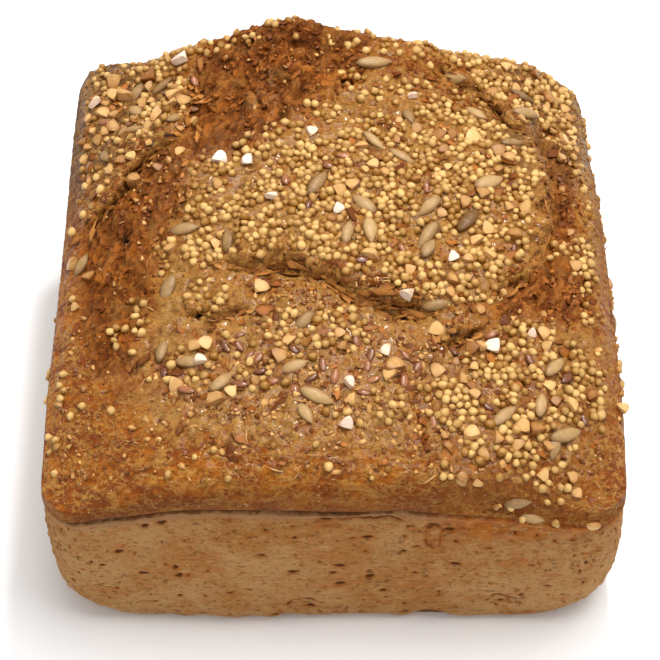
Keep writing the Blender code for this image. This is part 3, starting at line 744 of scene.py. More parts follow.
class Finish:
    """A material being built: each call adds one node and returns its output. Sizes are in millimetres."""

    def __init__(self, name):
        self.material = bpy.data.materials.new(name)
        self.material.use_nodes = True
        self.tree = self.material.node_tree
        self.shader = self.tree.nodes["Principled BSDF"]
        self.place = self.node("ShaderNodeTexCoord").outputs["Object"]

    def node(self, kind, **settings):
        made = self.tree.nodes.new(kind)
        for name, value in settings.items():
            setattr(made, name, value)
        return made

    def feed(self, socket, value):
        if isinstance(value, bpy.types.NodeSocket):
            self.tree.links.new(value, socket)
        else:
            socket.default_value = value

    def mask(self, name):
        return self.node("ShaderNodeAttribute", attribute_name=name).outputs["Fac"]

    def mottle(self, size, detail=4.0, rough=0.6, stretch=(1, 1, 1)):
        """Noise with lumps of the given size, drawn out along the axes by a stretch."""
        mapping = self.node("ShaderNodeMapping")
        self.feed(mapping.inputs["Vector"], self.place)
        mapping.inputs["Scale"].default_value = [1 / part for part in stretch]
        made = self.node("ShaderNodeTexNoise")
        self.feed(made.inputs["Vector"], mapping.outputs["Vector"])
        made.inputs["Scale"].default_value = 1 / (size * METRES)
        made.inputs["Detail"].default_value = detail
        made.inputs["Roughness"].default_value = rough
        return made.outputs["Fac"]

    def warped(self, size, amount, stretch=(1, 1, 1)):
        """The object's coordinates, drawn out along the axes and bent by noise."""
        bend = self.node("ShaderNodeTexNoise")
        self.feed(bend.inputs["Vector"], self.place)
        bend.inputs["Scale"].default_value = 1 / (size * METRES)
        mapping = self.node("ShaderNodeMapping")
        self.feed(mapping.inputs["Vector"], self.place)
        mapping.inputs["Scale"].default_value = [1 / part for part in stretch]
        moved = self.node("ShaderNodeVectorMath", operation="MULTIPLY_ADD")
        self.feed(moved.inputs[0], bend.outputs["Color"])
        moved.inputs[1].default_value = (amount * METRES,) * 3
        self.feed(moved.inputs[2], mapping.outputs["Vector"])
        return moved.outputs["Vector"]

    def web(self, size, thin, stretch=(1, 1, 1)):
        """Thin branching threads between cells of the given size: 1 on a thread, 0 off it."""
        made = self.node("ShaderNodeTexVoronoi", feature="DISTANCE_TO_EDGE")
        self.feed(made.inputs["Vector"], self.warped(1.4 * size, 1.5 * size, stretch))
        made.inputs["Scale"].default_value = 1 / (size * METRES)
        return self.within(made.outputs["Distance"], thin, 0.3 * thin)

    def specks(self, size, across):
        """Scattered round specks: 1 in a speck's middle; across is their size as a share of their spacing."""
        made = self.node("ShaderNodeTexVoronoi")
        self.feed(made.inputs["Vector"], self.place)
        made.inputs["Scale"].default_value = 1 / (size * METRES)
        return self.within(made.outputs["Distance"], across, 0.5 * across)

    def within(self, value, low, high):
        """Eases a value into 0..1 between two limits, or the other way round when low is above high."""
        made = self.node("ShaderNodeMapRange", interpolation_type="SMOOTHSTEP")
        self.feed(made.inputs["Value"], value)
        made.inputs["From Min"].default_value = min(low, high)
        made.inputs["From Max"].default_value = max(low, high)
        made.inputs["To Min"].default_value = 0.0 if low < high else 1.0
        made.inputs["To Max"].default_value = 1.0 if low < high else 0.0
        return made.outputs["Result"]

    def work(self, operation, first, second):
        made = self.node("ShaderNodeMath", operation=operation)
        self.feed(made.inputs[0], first)
        self.feed(made.inputs[1], second)
        return made.outputs["Value"]

    def times(self, first, second):
        return self.work("MULTIPLY", first, second)

    def blend(self, share, first, second):
        """Mixes two colours."""
        made = self.node("ShaderNodeMix", data_type="RGBA")
        self.feed(made.inputs["Factor"], share)
        self.feed(made.inputs[6], first)
        self.feed(made.inputs[7], second)
        return made.outputs[2]

    def bump(self, height, strength, depth):
        made = self.node("ShaderNodeBump")
        self.feed(made.inputs["Height"], height)
        made.inputs["Strength"].default_value = strength
        made.inputs["Distance"].default_value = depth * METRES
        self.feed(self.shader.inputs["Normal"], made.outputs["Normal"])


def crust_finish():
    """Browned crust: glossy amber film at the front, pale dough under the seeds, dull crumb where it tore."""
    made = Finish("crust")
    torn, dough, front = made.mask("torn"), made.mask("dough"), made.mask("front")
    patches = made.within(made.mottle(3.6, 6.0, 0.62, (1.8, 1.0, 1.0)), 0.5, 0.62)
    colour = made.blend(made.within(made.mottle(9.0, 5.0, 0.6, (1.6, 1.0, 1.0)), 0.46, 0.56), AMBER, GOLD)
    colour = made.blend(made.times(patches, 0.4), colour, UMBER)
    glaze = made.within(made.mottle(2.6, 5.0, 0.6, (2.4, 1.0, 1.0)), 0.53, 0.6)
    glaze = made.times(glaze, made.within(made.mottle(11.0, 3.0), 0.42, 0.56))
    colour = made.blend(made.times(glaze, made.times(front, 0.7)), colour, FILM)
    bed = made.blend(made.within(made.mottle(4.5, 6.0, 0.6), 0.4, 0.62), PALE_DOUGH, BROWN_DOUGH)
    bed = made.blend(made.times(made.within(made.mottle(5.0, 5.0), 0.54, 0.6), 0.6), bed, RUSTY_DOUGH)
    bed = made.blend(made.times(made.within(made.mottle(8.0, 5.0), 0.51, 0.57), 0.5), bed, OLIVE_DOUGH)
    bed = made.blend(made.times(made.within(made.mask("scale"), 0.6, 0.9), 0.5), bed, FILM)
    bed = made.blend(made.times(made.within(made.mask("scale"), 0.35, 0.1), 0.5), bed, RUSTY_DOUGH)
    painted_sheen = made.times(made.mask("painted_sheen"), made.within(made.mottle(2.2, 5.0, 0.6, (1.5, 1.0, 1.0)), 0.46, 0.56))
    colour = made.blend(made.times(dough, 0.85), colour, bed)
    colour = made.blend(made.times(made.mask("browned"), 0.85), colour, BROWNED_FILM)
    # Darker, more olive back side corners: browner crust and painted shade.
    colour = made.blend(made.times(made.mask("baked"), 0.8), colour, BACK_CORNER_BROWN_AND_SHADE)
    colour = made.blend(made.times(made.within(made.mask("grain"), 0.2, 0.7), 0.55), colour, BURIED_GRAIN)
    streaks = made.within(made.mottle(2.6, 5.0, 0.62, (1.2, 2.4, 1.0)), 0.44, 0.6)
    ripped = made.blend(made.times(streaks, 0.8), TORN, TORN_DEEP)
    ripped = made.blend(made.times(made.within(made.mottle(8.0, 5.0), 0.5, 0.57), 0.75), ripped, TORN_ORANGE)
    ripped = made.blend(made.times(made.within(made.mottle(7.0, 5.0), 0.54, 0.62), 0.6), ripped, TORN_OLIVE)
    ripped = made.blend(made.times(made.within(made.mask("scale"), 0.55, 0.9), 0.6), ripped, TORN_PALE)
    ripped = made.blend(made.times(made.within(made.mask("scale"), 0.4, 0.1), 0.5), ripped, TORN_DEEP)
    ripped = made.blend(made.times(made.mask("browned"), 0.75), ripped, TORN_DEEP)
    ripped = made.blend(made.times(made.mask("baked"), 0.5), ripped, TORN_OLIVE)
    colour = made.blend(torn, colour, ripped)
    # Painted pinkish sheen where the glossy crust catches the light.
    colour = made.blend(made.times(painted_sheen, 0.45), colour, PINK_SHEEN)
    leaves = made.blend(made.within(made.mask("scale"), 0.3, 0.6), TORN, TORN_PALE)
    leaves = made.blend(made.within(made.mottle(1.6, 4.0, 0.65, (2.6, 1.0, 0.8)), 0.49, 0.58), leaves, FILM)
    colour = made.blend(made.times(made.mask("face"), 0.8), colour, leaves)
    threads = made.work("MAXIMUM", made.web(3.4, 0.09, (2.2, 1, 1)), made.web(1.9, 0.12, (1.7, 1, 1)))
    threads = made.times(threads, made.within(made.mottle(4.0, 2.0), 0.4, 0.54))
    threads = made.times(threads, made.work("ADD", made.times(front, 0.5), made.times(dough, 0.2)))
    colour = made.blend(threads, colour, FILM)
    fine = made.mottle(1.2, 5.0, 0.7)
    dark_share = made.work("SUBTRACT", 0.5, made.times(torn, 0.3))
    colour = made.blend(made.times(made.within(fine, 0.46, 0.38), dark_share), colour, UMBER)
    pale_share = made.work("SUBTRACT", 0.4, made.times(torn, 0.35))
    colour = made.blend(made.times(made.within(fine, 0.56, 0.64), pale_share), colour, FILM)
    relief_light_and_shade, steep = made.mask("relief_light_and_shade"), made.mask("steep")
    # Painted light on the raised relief and painted shade in its hollows.
    colour = made.blend(made.times(made.within(relief_light_and_shade, 0.6, 1.0), 0.35), colour, TORN_PALE)
    colour = made.blend(made.times(made.within(relief_light_and_shade, 0.42, 0.08), 0.4), colour, UMBER)
    # Painted shade where the crust turns steeply down at its rim, away from the light.
    colour = made.blend(made.times(steep, 0.3), colour, UMBER)
    colour = made.blend(made.times(made.specks(1.7, 0.2), 0.4), colour, TORN_DEEP)
    # Pale specks on the front crust: painted glints.
    colour = made.blend(made.times(made.specks(2.3, 0.12), made.times(front, 0.8)), colour, PAINTED_GLINT)
    lip = made.times(made.mask("lip"), made.within(made.mottle(3.0, 4.0, 0.6, (2.0, 1.0, 1.0)), 0.3, 0.6))
    colour = made.blend(made.times(lip, 0.45), colour, LIP_BROWN)
    # Painted shadow in the groove under the lip.
    colour = made.blend(made.times(made.within(made.mask("groove"), 0.3, 0.9), 0.85), colour, GROOVE_SHADOW)
    # Painted shade in the crevices, the creases and the dark holes.
    colour = made.blend(made.within(made.mask("crevice"), 0.3, 0.7), colour, CREVICE_SHADE)
    made.feed(made.shader.inputs["Base Color"], colour)
    dull = made.work("MAXIMUM", made.work("MAXIMUM", torn, made.mask("lip")), steep)
    dull = made.work("ADD", made.times(dull, 0.3), made.times(patches, 0.15))
    made.feed(made.shader.inputs["Roughness"], made.work("ADD", 0.27, dull))
    grain = made.times(fine, made.work("SUBTRACT", 2.0, torn))
    grain = made.work("ADD", grain, made.times(threads, 0.5))
    grain = made.work("ADD", grain, made.times(made.mottle(0.5, 3.0, 0.7), 0.25))
    grain = made.work("SUBTRACT", grain, made.times(streaks, made.times(torn, 0.8)))
    made.bump(grain, 1.0, 0.9)
    made.shader.inputs["Specular IOR Level"].default_value = 0.16
    wet = made.work("SUBTRACT", made.work("MAXIMUM", front, dough), made.work("MAXIMUM", made.mask("lip"), steep))
    made.feed(made.shader.inputs["Coat Weight"], made.times(made.work("MAXIMUM", wet, 0.0), 0.25))
    made.shader.inputs["Coat Roughness"].default_value = 0.12
    return made.material


def wall_finish():
    """Tin-baked side: light brown and dull, with pores drawn out along the loaf, dark with painted shade in their
    dents.
    """
    made = Finish("tin_wall")
    up, centre, pore = made.mask("up"), made.mask("centre"), made.mask("pore")
    warm = made.work("ADD", made.times(up, 0.6), made.times(centre, 0.5))
    warm = made.work("ADD", warm, made.within(made.mottle(14.0, 3.0), 0.3, 0.7))
    colour = made.blend(made.within(warm, 0.5, 1.8), TIN_PALE, TIN_WARM)
    grain = made.mottle(1.1, 5.0, 0.7, (1.5, 1.5, 1.0))
    wrinkles = made.mottle(2.6, 5.0, 0.65, (1.4, 1.4, 0.8))
    colour = made.blend(made.times(made.within(wrinkles, 0.52, 0.7), 0.6), colour, TIN_DOTS)
    colour = made.blend(made.times(made.within(wrinkles, 0.46, 0.32), 0.5), colour, RUSTY_DOUGH)
    colour = made.blend(made.times(made.within(grain, 0.48, 0.34), 0.5), colour, PORE_SHADE_AND_FLECKS)
    dotted = made.times(made.specks(1.15, 0.34), made.within(made.mottle(9.0, 3.0), 0.5, 0.6))
    colour = made.blend(made.times(dotted, 0.55), colour, TIN_DOTS)
    small = made.within(made.mottle(1.6, 4.0, 0.65, (1.4, 1.4, 0.9)), 0.62, 0.67)
    # Small pits darkened as painted shade.
    colour = made.blend(made.times(small, 0.5), colour, PORE_SHADE_AND_FLECKS)
    scorched = made.times(made.within(made.mottle(6.0, 4.0, 0.6, (2.0, 2.0, 0.8)), 0.56, 0.68), 0.35)
    colour = made.blend(scorched, colour, RUSTY_DOUGH)
    edge = made.work("ADD", up, made.times(made.work("SUBTRACT", made.mottle(3.0, 4.0), 0.5), 0.06))
    banded = made.work("MULTIPLY", made.within(edge, 0.92, 0.945), made.within(centre, 0.0, 0.1))
    colour = made.blend(made.times(banded, 0.7), colour, TIN_BAND)
    # Painted shadow of the lip along the top of the wall.
    colour = made.blend(made.times(made.within(edge, 0.974, 0.99), 0.9), colour, GROOVE_SHADOW)
    run = made.blend(made.within(made.mottle(4.0, 4.0), 0.42, 0.56), GOLD, AMBER)
    run = made.blend(made.times(made.within(wrinkles, 0.5, 0.62), 0.6), run, TIN_DOTS)
    colour = made.blend(made.times(made.mask("run"), 0.72), colour, run)
    # Rusty rims round the pores and scars, and their middles darkened as painted shade.
    colour = made.blend(made.times(made.within(pore, 0.06, 0.28), 0.5), colour, RUSTY_DOUGH)
    colour = made.blend(made.times(made.within(pore, 0.28, 0.55), 0.9), colour, PORE_SHADE_AND_FLECKS)
    made.feed(made.shader.inputs["Base Color"], colour)
    made.shader.inputs["Roughness"].default_value = 0.8
    made.shader.inputs["Specular IOR Level"].default_value = 0.15
    relief = made.work("SUBTRACT", made.times(grain, 1.2), made.times(small, 0.8))
    made.bump(made.work("ADD", relief, made.times(wrinkles, 1.6)), 1.0, 0.8)
    return made.material


def seed_tone_group():
    """Shared by every seed: a light and a deep colour mixed by the seed's own tone and a fine mottling."""
    group = bpy.data.node_groups.new("seed_tone", "ShaderNodeTree")
    for name, kind in (("Light", "NodeSocketColor"), ("Deep", "NodeSocketColor"), ("Size", "NodeSocketFloat")):
        group.interface.new_socket(name, in_out="INPUT", socket_type=kind)
    for name, kind in (("Colour", "NodeSocketColor"), ("Height", "NodeSocketFloat")):
        group.interface.new_socket(name, in_out="OUTPUT", socket_type=kind)
    nodes, links = group.nodes, group.links
    given, result = nodes.new("NodeGroupInput"), nodes.new("NodeGroupOutput")
    place, tone = nodes.new("ShaderNodeTexCoord"), nodes.new("ShaderNodeAttribute")
    tone.attribute_name = "tone"
    mottle, spread, mix = nodes.new("ShaderNodeTexNoise"), nodes.new("ShaderNodeMath"), nodes.new("ShaderNodeMix")
    mottle.inputs["Detail"].default_value = 3.0
    spread.operation = "MULTIPLY_ADD"
    spread.inputs[1].default_value = 0.5
    spread.use_clamp = True
    mix.data_type = "RGBA"
    links.new(place.outputs["Object"], mottle.inputs["Vector"])
    links.new(given.outputs["Size"], mottle.inputs["Scale"])
    links.new(mottle.outputs["Fac"], spread.inputs[0])
    links.new(tone.outputs["Fac"], spread.inputs[2])
    links.new(spread.outputs["Value"], mix.inputs["Factor"])
    links.new(given.outputs["Light"], mix.inputs[6])
    links.new(given.outputs["Deep"], mix.inputs[7])
    links.new(mix.outputs[2], result.inputs["Colour"])
    links.new(mottle.outputs["Fac"], result.inputs["Height"])
    return group


SEED_TONE = seed_tone_group()


def roughen(form, amount, size, draws):
    """Pushes each point out or in by noise, so that no two are alike."""
    offset = Vector((draws.uniform(0, 90), draws.uniform(0, 90), draws.uniform(0, 90)))
    for corner in form.verts:
        corner.co *= 1 + amount * noise.noise(corner.co / size + offset)


def ball(form, draws):
    """A grain of millet."""
    bmesh.ops.create_uvsphere(form, u_segments=8, v_segments=6, radius=0.5)
    roughen(form, 0.4, 0.4, draws)


def kernel(form, draws):
    """A hulled sunflower kernel: a flat drop with a sharp tip and faint ribs."""
    bmesh.ops.create_uvsphere(form, u_segments=16, v_segments=11, radius=0.5)
    bmesh.ops.rotate(form, verts=form.verts, matrix=Matrix.Rotation(math.pi / 2, 3, "Y"))
    plump, bend = draws.uniform(0.5, 0.75), draws.uniform(-0.1, 0.1)
    for corner in form.verts:
        tip = max(0.0, corner.co.x * 2)
        around = math.atan2(corner.co.z, corner.co.y)
        narrow = (1 - plump * tip**1.5) * (1 + 0.05 * math.cos(5 * around))
        corner.co.y = corner.co.y * narrow + bend * corner.co.x**2
        corner.co.z *= narrow
    roughen(form, 0.1, 0.5, draws)


def groat(form, draws):
    """A buckwheat groat: a blunt grain with a few flat faces."""
    bmesh.ops.create_icosphere(form, subdivisions=2, radius=0.62)
    for side in range(5):
        turn, lift = side * math.tau / 3 + draws.uniform(-0.3, 0.3), (-0.2, -0.2, -0.2, 1.2, -1.4)[side]
        facing = Vector((math.cos(turn) * math.cos(lift), math.sin(turn) * math.cos(lift), math.sin(lift)))
        level = draws.uniform(0.26, 0.34)
        for corner in form.verts:
            corner.co -= facing * 0.92 * max(0.0, corner.co.dot(facing) - level)


def linseed(form, draws):
    """A linseed: a flat drop, blunt at one end."""
    bmesh.ops.create_uvsphere(form, u_segments=14, v_segments=8, radius=0.5)
    bmesh.ops.rotate(form, verts=form.verts, matrix=Matrix.Rotation(math.pi / 2, 3, "Y"))
    for corner in form.verts:
        corner.co.y *= 1 - 0.5 * max(0.0, corner.co.x * 2) ** 1.6
    roughen(form, 0.06, 0.5, draws)


def flake(form, draws, around=10, rings=6):
    """A thin ragged flake, curled up at its rim."""
    bmesh.ops.create_uvsphere(form, u_segments=around, v_segments=rings, radius=0.5)
    offset, curl = draws.uniform(0, 90), draws.uniform(-0.9, 1.5)
    for corner in form.verts:
        away = math.hypot(corner.co.x, corner.co.y)
        corner.co.z = corner.co.z * 0.4 + curl * corner.co.x**2
        ragged = 1 + 1.1 * noise.noise(Vector((corner.co.x, corner.co.y, offset)) * 3.1)
        corner.co.x *= 1 + (ragged - 1) * min(1.0, away * 2)
        corner.co.y *= 1 + (ragged - 1) * min(1.0, away * 2)


def shred(form, draws):
    """A small flake with few faces, for the hundreds that make torn crumb."""
    flake(form, draws, 8, 5)


def strand(form, draws):
    """A bent fibre of husk."""
    bmesh.ops.create_uvsphere(form, u_segments=6, v_segments=6, radius=0.5)
    bmesh.ops.rotate(form, verts=form.verts, matrix=Matrix.Rotation(math.pi / 2, 3, "Y"))
    bow, lift = draws.uniform(-3, 3), draws.uniform(-1, 2)
    for corner in form.verts:
        corner.co.y += bow * corner.co.x**2
        corner.co.z += lift * corner.co.x**2


def crumb(form, draws):
    """A rough crumb of crust."""
    bmesh.ops.create_icosphere(form, subdivisions=1, radius=0.5)
    roughen(form, 0.9, 0.35, draws)


class Kind:
    """One kind of seed, flake or crumb. Its size is its length, width and thickness."""

    def __init__(self, name, slot, shape, size, lying, tones, light, deep, finish):
        self.name, self.slot, self.shape, self.size = name, slot, shape, size
        self.sunk, self.tilt, self.spread, self.spacing = lying
        self.tones, self.light, self.deep = tones, light, deep
        self.mottle_size, self.rough, self.gloss, self.relief = finish

    def material(self):
        made = Finish(self.name)
        tone = made.node("ShaderNodeGroup", node_tree=SEED_TONE)
        tone.inputs["Light"].default_value = display(*self.light)
        tone.inputs["Deep"].default_value = display(*self.deep)
        tone.inputs["Size"].default_value = 1 / (self.mottle_size * METRES)
        made.feed(made.shader.inputs["Base Color"], tone.outputs["Colour"])
        made.shader.inputs["Roughness"].default_value = self.rough
        made.shader.inputs["Specular IOR Level"].default_value = self.gloss
        made.bump(tone.outputs["Height"], 0.5, self.relief)
        return made.material


# Each kind: name, slot, shape, length width and thickness, then how it lies (share sunk, tilt, spread of sizes and
# room it takes), its range of tones, its light and deep colours, and its finish (mottle size, roughness, gloss, relief)
KERNELS = Kind(
    "sunflower_kernels", "sunflower", kernel, (8.8, 3.9, 2.4), (0.38, 0.14, 0.1, 4.0),
    (-0.1, 0.7), (200, 162, 108), (112, 78, 42), (1.3, 0.36, 0.25, 0.4),
)
WHITE_GROATS = Kind(
    "white_groats", "buckwheat", groat, (4.3, 4.0, 3.2), (0.2, 0.5, 0.1, 3.0),
    (-0.4, 0.15), (242, 222, 204), (206, 162, 112), (1.2, 0.5, 0.3, 0.2),
)
GROATS = Kind(
    "buckwheat_groats", "buckwheat", groat, (4.0, 3.6, 2.8), (0.34, 0.5, 0.18, 3.0),
    (-0.4, 0.65), (224, 176, 110), (140, 84, 28), (1.4, 0.42, 0.3, 0.2),
)
LINSEEDS = Kind(
    "linseeds", "linseed", linseed, (4.5, 2.4, 1.3), (0.3, 0.2, 0.1, 2.7),
    (-0.3, 0.6), (168, 108, 68), (92, 48, 24), (0.8, 0.2, 0.5, 0.05),
)
BRAN = Kind(
    "bran_flakes", "buckwheat", flake, (4.0, 2.4, 0.7), (0.36, 0.35, 0.25, 2.5),
    (-0.3, 0.8), (182, 112, 48), (104, 54, 18), (0.8, 0.4, 0.15, 0.5),
)
MILLET = Kind(
    "millet_grains", "millet", ball, (2.5, 2.25, 2.0), (0.36, 0.5, 0.13, 1.7),
    (-0.4, 0.6), (220, 178, 108), (146, 96, 30), (0.9, 0.38, 0.3, 0.25),
)
STRANDS = Kind(
    "husk_strands", "buckwheat", strand, (3.0, 0.4, 0.35), (0.3, 0.25, 0.3, 0.5),
    (-0.2, 0.8), (218, 170, 104), (140, 90, 40), (1.0, 0.45, 0.2, 0.1),
)
EDGES = Kind(
    "torn_edges", "crust", flake, (5.6, 2.0, 0.7), (0.3, 0.4, 0.25, 2.0),
    (-0.3, 0.8), (194, 130, 62), (112, 60, 16), (1.2, 0.5, 0.15, 0.4),
)
FLAPS = Kind(
    "torn_flaps", "crust", shred, (2.8, 1.5, 0.7), (0.48, 0.35, 0.3, 0.8),
    (0.0, 0.8), (174, 102, 38), (108, 54, 10), (1.0, 0.5, 0.15, 0.4),
)
TORN_CRUMBS = Kind(
    "torn_crumbs", "crust", crumb, (1.4, 1.0, 0.8), (0.4, 0.6, 0.35, 0.6),
    (-0.2, 0.9), (184, 114, 46), (108, 54, 12), (0.7, 0.5, 0.15, 0.2),
)
CRUMBS = Kind(
    "crust_crumbs", "crust", crumb, (1.25, 1.0, 0.8), (0.3, 0.6, 0.35, 0.6),
    (-0.4, 0.9), (226, 172, 100), (120, 66, 26), (0.7, 0.4, 0.3, 0.2),
)


def clear_places():
    """Places along the torn faces of the deepest ledges, which no scattered seed covers."""
    places = []
    for line, _, _, _, face, _ in (LEDGES[name] for name in CLEAR_LEDGES):
        for (x0, y0), (x1, y1) in zip(line, line[1:]):
            length = math.hypot(x1 - x0, y1 - y0)
            for share in np.arange(0, 1, 1 / length):
                x = x0 + share * (x1 - x0) + 0.5 * face * (y1 - y0) / length
                y = y0 + share * (y1 - y0) - 0.5 * face * (x1 - x0) / length
                moved_x, moved_y = ragged(x, y)
                places.append((2 * x - float(moved_x), 2 * y - float(moved_y), 0.55 * face))
    return places


def edge_places(draws):
    """Places along the torn ledges, a little way onto the raised side, each turned along its ledge."""
    places = []
    for name, (line, *_, dark) in LEDGES.items():
        spacing = EDGE_SPACING / dark * (3 if name in CLEAN_LEDGES else 1)
        for (x0, y0), (x1, y1) in zip(line, line[1:]):
            length = math.hypot(x1 - x0, y1 - y0)
            for step in range(int(length / spacing)):
                share = (step + draws.random()) * spacing / length
                inset = draws.uniform(-2.6, 1.2)
                x = x0 + share * (x1 - x0) - inset * (y1 - y0) / length
                y = y0 + share * (y1 - y0) + inset * (x1 - x0) / length
                moved_x, moved_y = ragged(x, y)
                turn = math.degrees(math.atan2(y1 - y0, x1 - x0)) + draws.uniform(-25, 25)
                places.append((2 * x - float(moved_x), 2 * y - float(moved_y), turn))
    return places


def lie(tree, kind, x, y, turn, draws):
    """How a seed lies: flat on the crust, turned from X, tipped and partly sunk. Near the lip it is met from outside."""
    outward = Vector((0, 0, 1))
    if abs(x) > WIDTH / 2 - LIP_REACH:
        outward = Vector((math.copysign(1, x), 0, 0.75))
    elif abs(y) > LENGTH / 2 - LIP_REACH:
        outward = Vector((0, math.copysign(1, y), 0.75))
    place = Vector((x - MIDDLE[0], y - MIDDLE[1], LIP_HEIGHT)) * METRES
    point, normal, _, _ = tree.ray_cast(place + outward * 2 * LIP_HEIGHT * METRES, -outward)
    if point is None:
        point, normal, _, _ = tree.find_nearest(place)
    upright = normal.to_track_quat("Z", "Y")
    heading = upright.inverted() @ Vector((math.cos(math.radians(turn)), math.sin(math.radians(turn)), 0))
    tip = Euler((draws.uniform(-kind.tilt, kind.tilt), draws.uniform(-kind.tilt, kind.tilt), 0))
    facing = Matrix.Rotation(math.atan2(heading.y, heading.x), 4, "Z") @ tip.to_matrix().to_4x4()
    bigger = draws.gauss(1, kind.spread)
    size = [part * bigger * draws.uniform(1 - kind.spread, 1 + kind.spread) * METRES for part in kind.size]
    sunk = kind.sunk + SINK_SPREAD * draws.uniform(-1, 1) + (1 - outward.z) * SUNK_AT_RIM
    middle = point + normal * size[2] * (0.5 - sunk)
    return Matrix.Translation(middle) @ upright.to_matrix().to_4x4() @ facing @ Matrix.Diagonal((*size, 1.0))


def on_crust(x, y):
    """Whether a place lies within the crust's rounded outline."""
    past_x, past_y = abs(x) - WIDTH / 2 + LIP_RADIUS, abs(y) - LENGTH / 2 + LIP_RADIUS
    return math.hypot(max(0.0, past_x), max(0.0, past_y)) < LIP_RADIUS


def bed_places(beds, spacing, clustered, taken, draws):
    """Scatters places in oval beds, each clear of every place that is taken."""
    chosen = []
    for middle_x, middle_y, half_x, half_y, count in beds:
        placed = 0
        for _ in range(count * 40):
            if placed == count:
                break
            angle, out = draws.uniform(0, math.tau), draws.random() ** 0.5 * (1 + 0.15 * draws.random())
            x = middle_x + half_x * out * math.cos(angle)
            y = middle_y + half_y * out * math.sin(angle)
            if clustered and noise.noise(Vector((x / CLUSTER, y / CLUSTER, 0))) < CLUSTER_GAP:
                continue
            if on_crust(x, y) and all((x - x0) ** 2 + (y - y0) ** 2 > (room + spacing / 2) ** 2 for x0, y0, room in taken):
                chosen.append((x, y, draws.uniform(0, 360)))
                taken.append((x, y, spacing / 2))
                placed += 1
    return chosen


def join(kind, laid, draws, variants=6):
    """Joins copies of a few shapes into one piece; each copy keeps a tone of its own, deeper at its rim: painted shade
    where it meets the crust, and some real browning.
    """
    shapes, rims = [], []
    for _ in range(variants):
        form = bmesh.new()
        kind.shape(form, draws)
        rims.append([min(1.0, 4 * (corner.co.x**2 + corner.co.y**2)) ** 2 for corner in form.verts])
        shapes.append(closed_mesh(form, kind.name))
    form = bmesh.new()
    tones = []
    for number, (matrix, tone) in enumerate(laid):
        copy = shapes[number % variants].copy()
        copy.transform(matrix)
        form.from_mesh(copy)
        tones += [tone + RIM_SHADE * rim for rim in rims[number % variants]]
        bpy.data.meshes.remove(copy)
    mesh = bpy.data.meshes.new(kind.name)
    form.to_mesh(mesh)
    form.free()
    set_mask(mesh, "tone", tones)
    for shape in shapes:
        bpy.data.meshes.remove(shape)
    piece(kind.name, mesh, kind.material(), SHARP_ANGLE if kind.shape in (groat, crumb, shred) else None)


def lay_seeds(tree):
    """Everything that lies on the crust: the large seeds first, then smaller ones in the room that is left."""
    draws = random.Random(SEED_OF_DRAWS)
    clear = clear_places()
    taken = list(clear)

    def lay(kind, listed, beds, taken):
        places = [(x, y, *(turn or (draws.uniform(0, 360),))) for x, y, *turn in listed]
        taken += [(x, y, kind.spacing / 2) for x, y, _ in places]
        places += bed_places(beds, kind.spacing, kind is MILLET, taken, draws)
        if kind is KERNELS:
            for x, y, turn in places:
                end_x, end_y = KERNEL_END * math.cos(math.radians(turn)), KERNEL_END * math.sin(math.radians(turn))
                taken += [(x + end_x, y + end_y, 0.4 * kind.spacing), (x - end_x, y - end_y, 0.4 * kind.spacing)]
        lightest, deepest = kind.tones
        laid = []
        for number, place in enumerate(places):
            limit = deepest * (LISTED_TONES if number < len(listed) else 1)
            laid.append((lie(tree, kind, *place, draws), draws.uniform(lightest, limit)))
        join(kind, laid, draws)

    lay(KERNELS, KERNEL_PLACES, KERNEL_BEDS, taken)
    lay(WHITE_GROATS, WHITE_GROAT_PLACES, (), taken)
    lay(GROATS, GROAT_PLACES, GROAT_BEDS, taken)
    lay(LINSEEDS, LINSEED_PLACES, LINSEED_BEDS, taken)
    lay(BRAN, BRAN_PLACES, BRAN_BEDS, taken)
    lay(MILLET, MILLET_PLACES, MILLET_BEDS, taken)
    lay(EDGES, edge_places(draws), (), [])
    lay(STRANDS, (), STRAND_BEDS, list(clear))
    lay(FLAPS, (), FLAP_BEDS, list(clear))
    lay(TORN_CRUMBS, (), TORN_CRUMB_BEDS, list(clear))
    lay(CRUMBS, (), CRUMB_BEDS, list(clear))


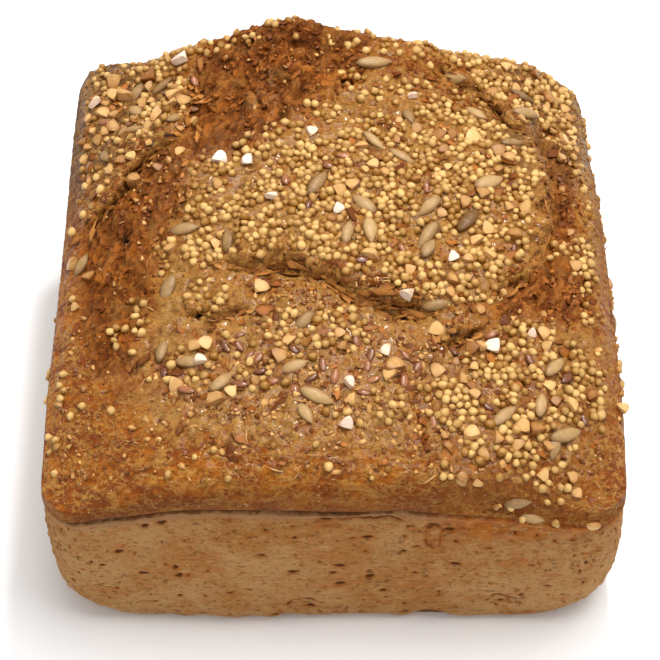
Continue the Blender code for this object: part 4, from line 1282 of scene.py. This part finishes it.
def soft_light(name, place, aim, across, power):
    """A square studio light, aimed at a point of the loaf; lengths in metres."""
    light = bpy.data.lights.new(name, "AREA")
    light.size = across
    light.energy = power
    lamp = bpy.data.objects.new(name, light)
    lamp.location = place
    lamp.rotation_euler = (Vector(aim) - Vector(place)).to_track_quat("-Z", "Y").to_euler()
    bpy.context.scene.collection.objects.link(lamp)


def set_stage():
    """A plain pale floor, soft light from above and the camera."""
    form = bmesh.new()
    bmesh.ops.create_grid(form, x_segments=1, y_segments=1, size=3.0)
    mesh = bpy.data.meshes.new("floor")
    form.to_mesh(mesh)
    form.free()
    floor = bpy.data.objects.new("floor", mesh)
    pale = Finish("floor")
    pale.shader.inputs["Base Color"].default_value = display(252, 252, 252)
    pale.shader.inputs["Roughness"].default_value = 0.9
    mesh.materials.append(pale.material)
    bpy.context.scene.collection.objects.link(floor)

    world = bpy.context.scene.world or bpy.data.worlds.new("studio")
    bpy.context.scene.world = world
    world.use_nodes = True
    world.node_tree.nodes["Background"].inputs["Color"].default_value = (1.0, 1.0, 1.0, 1.0)
    world.node_tree.nodes["Background"].inputs["Strength"].default_value = 0.64
    soft_light("overhead", (0.16, -0.04, 0.85), (0, 0, 0.06), 0.5, 5.0)
    soft_light("glint", (0.1, 0.3, 0.75), (0, 0, 0.06), 0.06, 2.4)

    view = bpy.data.cameras.new("view")
    view.sensor_width = SENSOR
    view.lens = FOCAL_PIXELS / FRAME_PIXELS * SENSOR
    camera = bpy.data.objects.new("view", view)
    camera.location = (Vector(CAMERA_PLACE) - Vector((*MIDDLE, 0))) * METRES
    camera.rotation_euler = (math.radians(90 - CAMERA_PITCH), 0, 0)
    bpy.context.scene.collection.objects.link(camera)
    bpy.context.scene.camera = camera
    bpy.context.scene.view_settings.view_transform = "Standard"


def build():
    mesh, tree = crust_mesh()
    piece("crust", mesh, crust_finish(), SEAM_ANGLE)
    piece("walls", wall_mesh(random.Random(SEED_OF_DRAWS)), wall_finish(), SEAM_ANGLE)
    lay_seeds(tree)
    set_stage()


build()
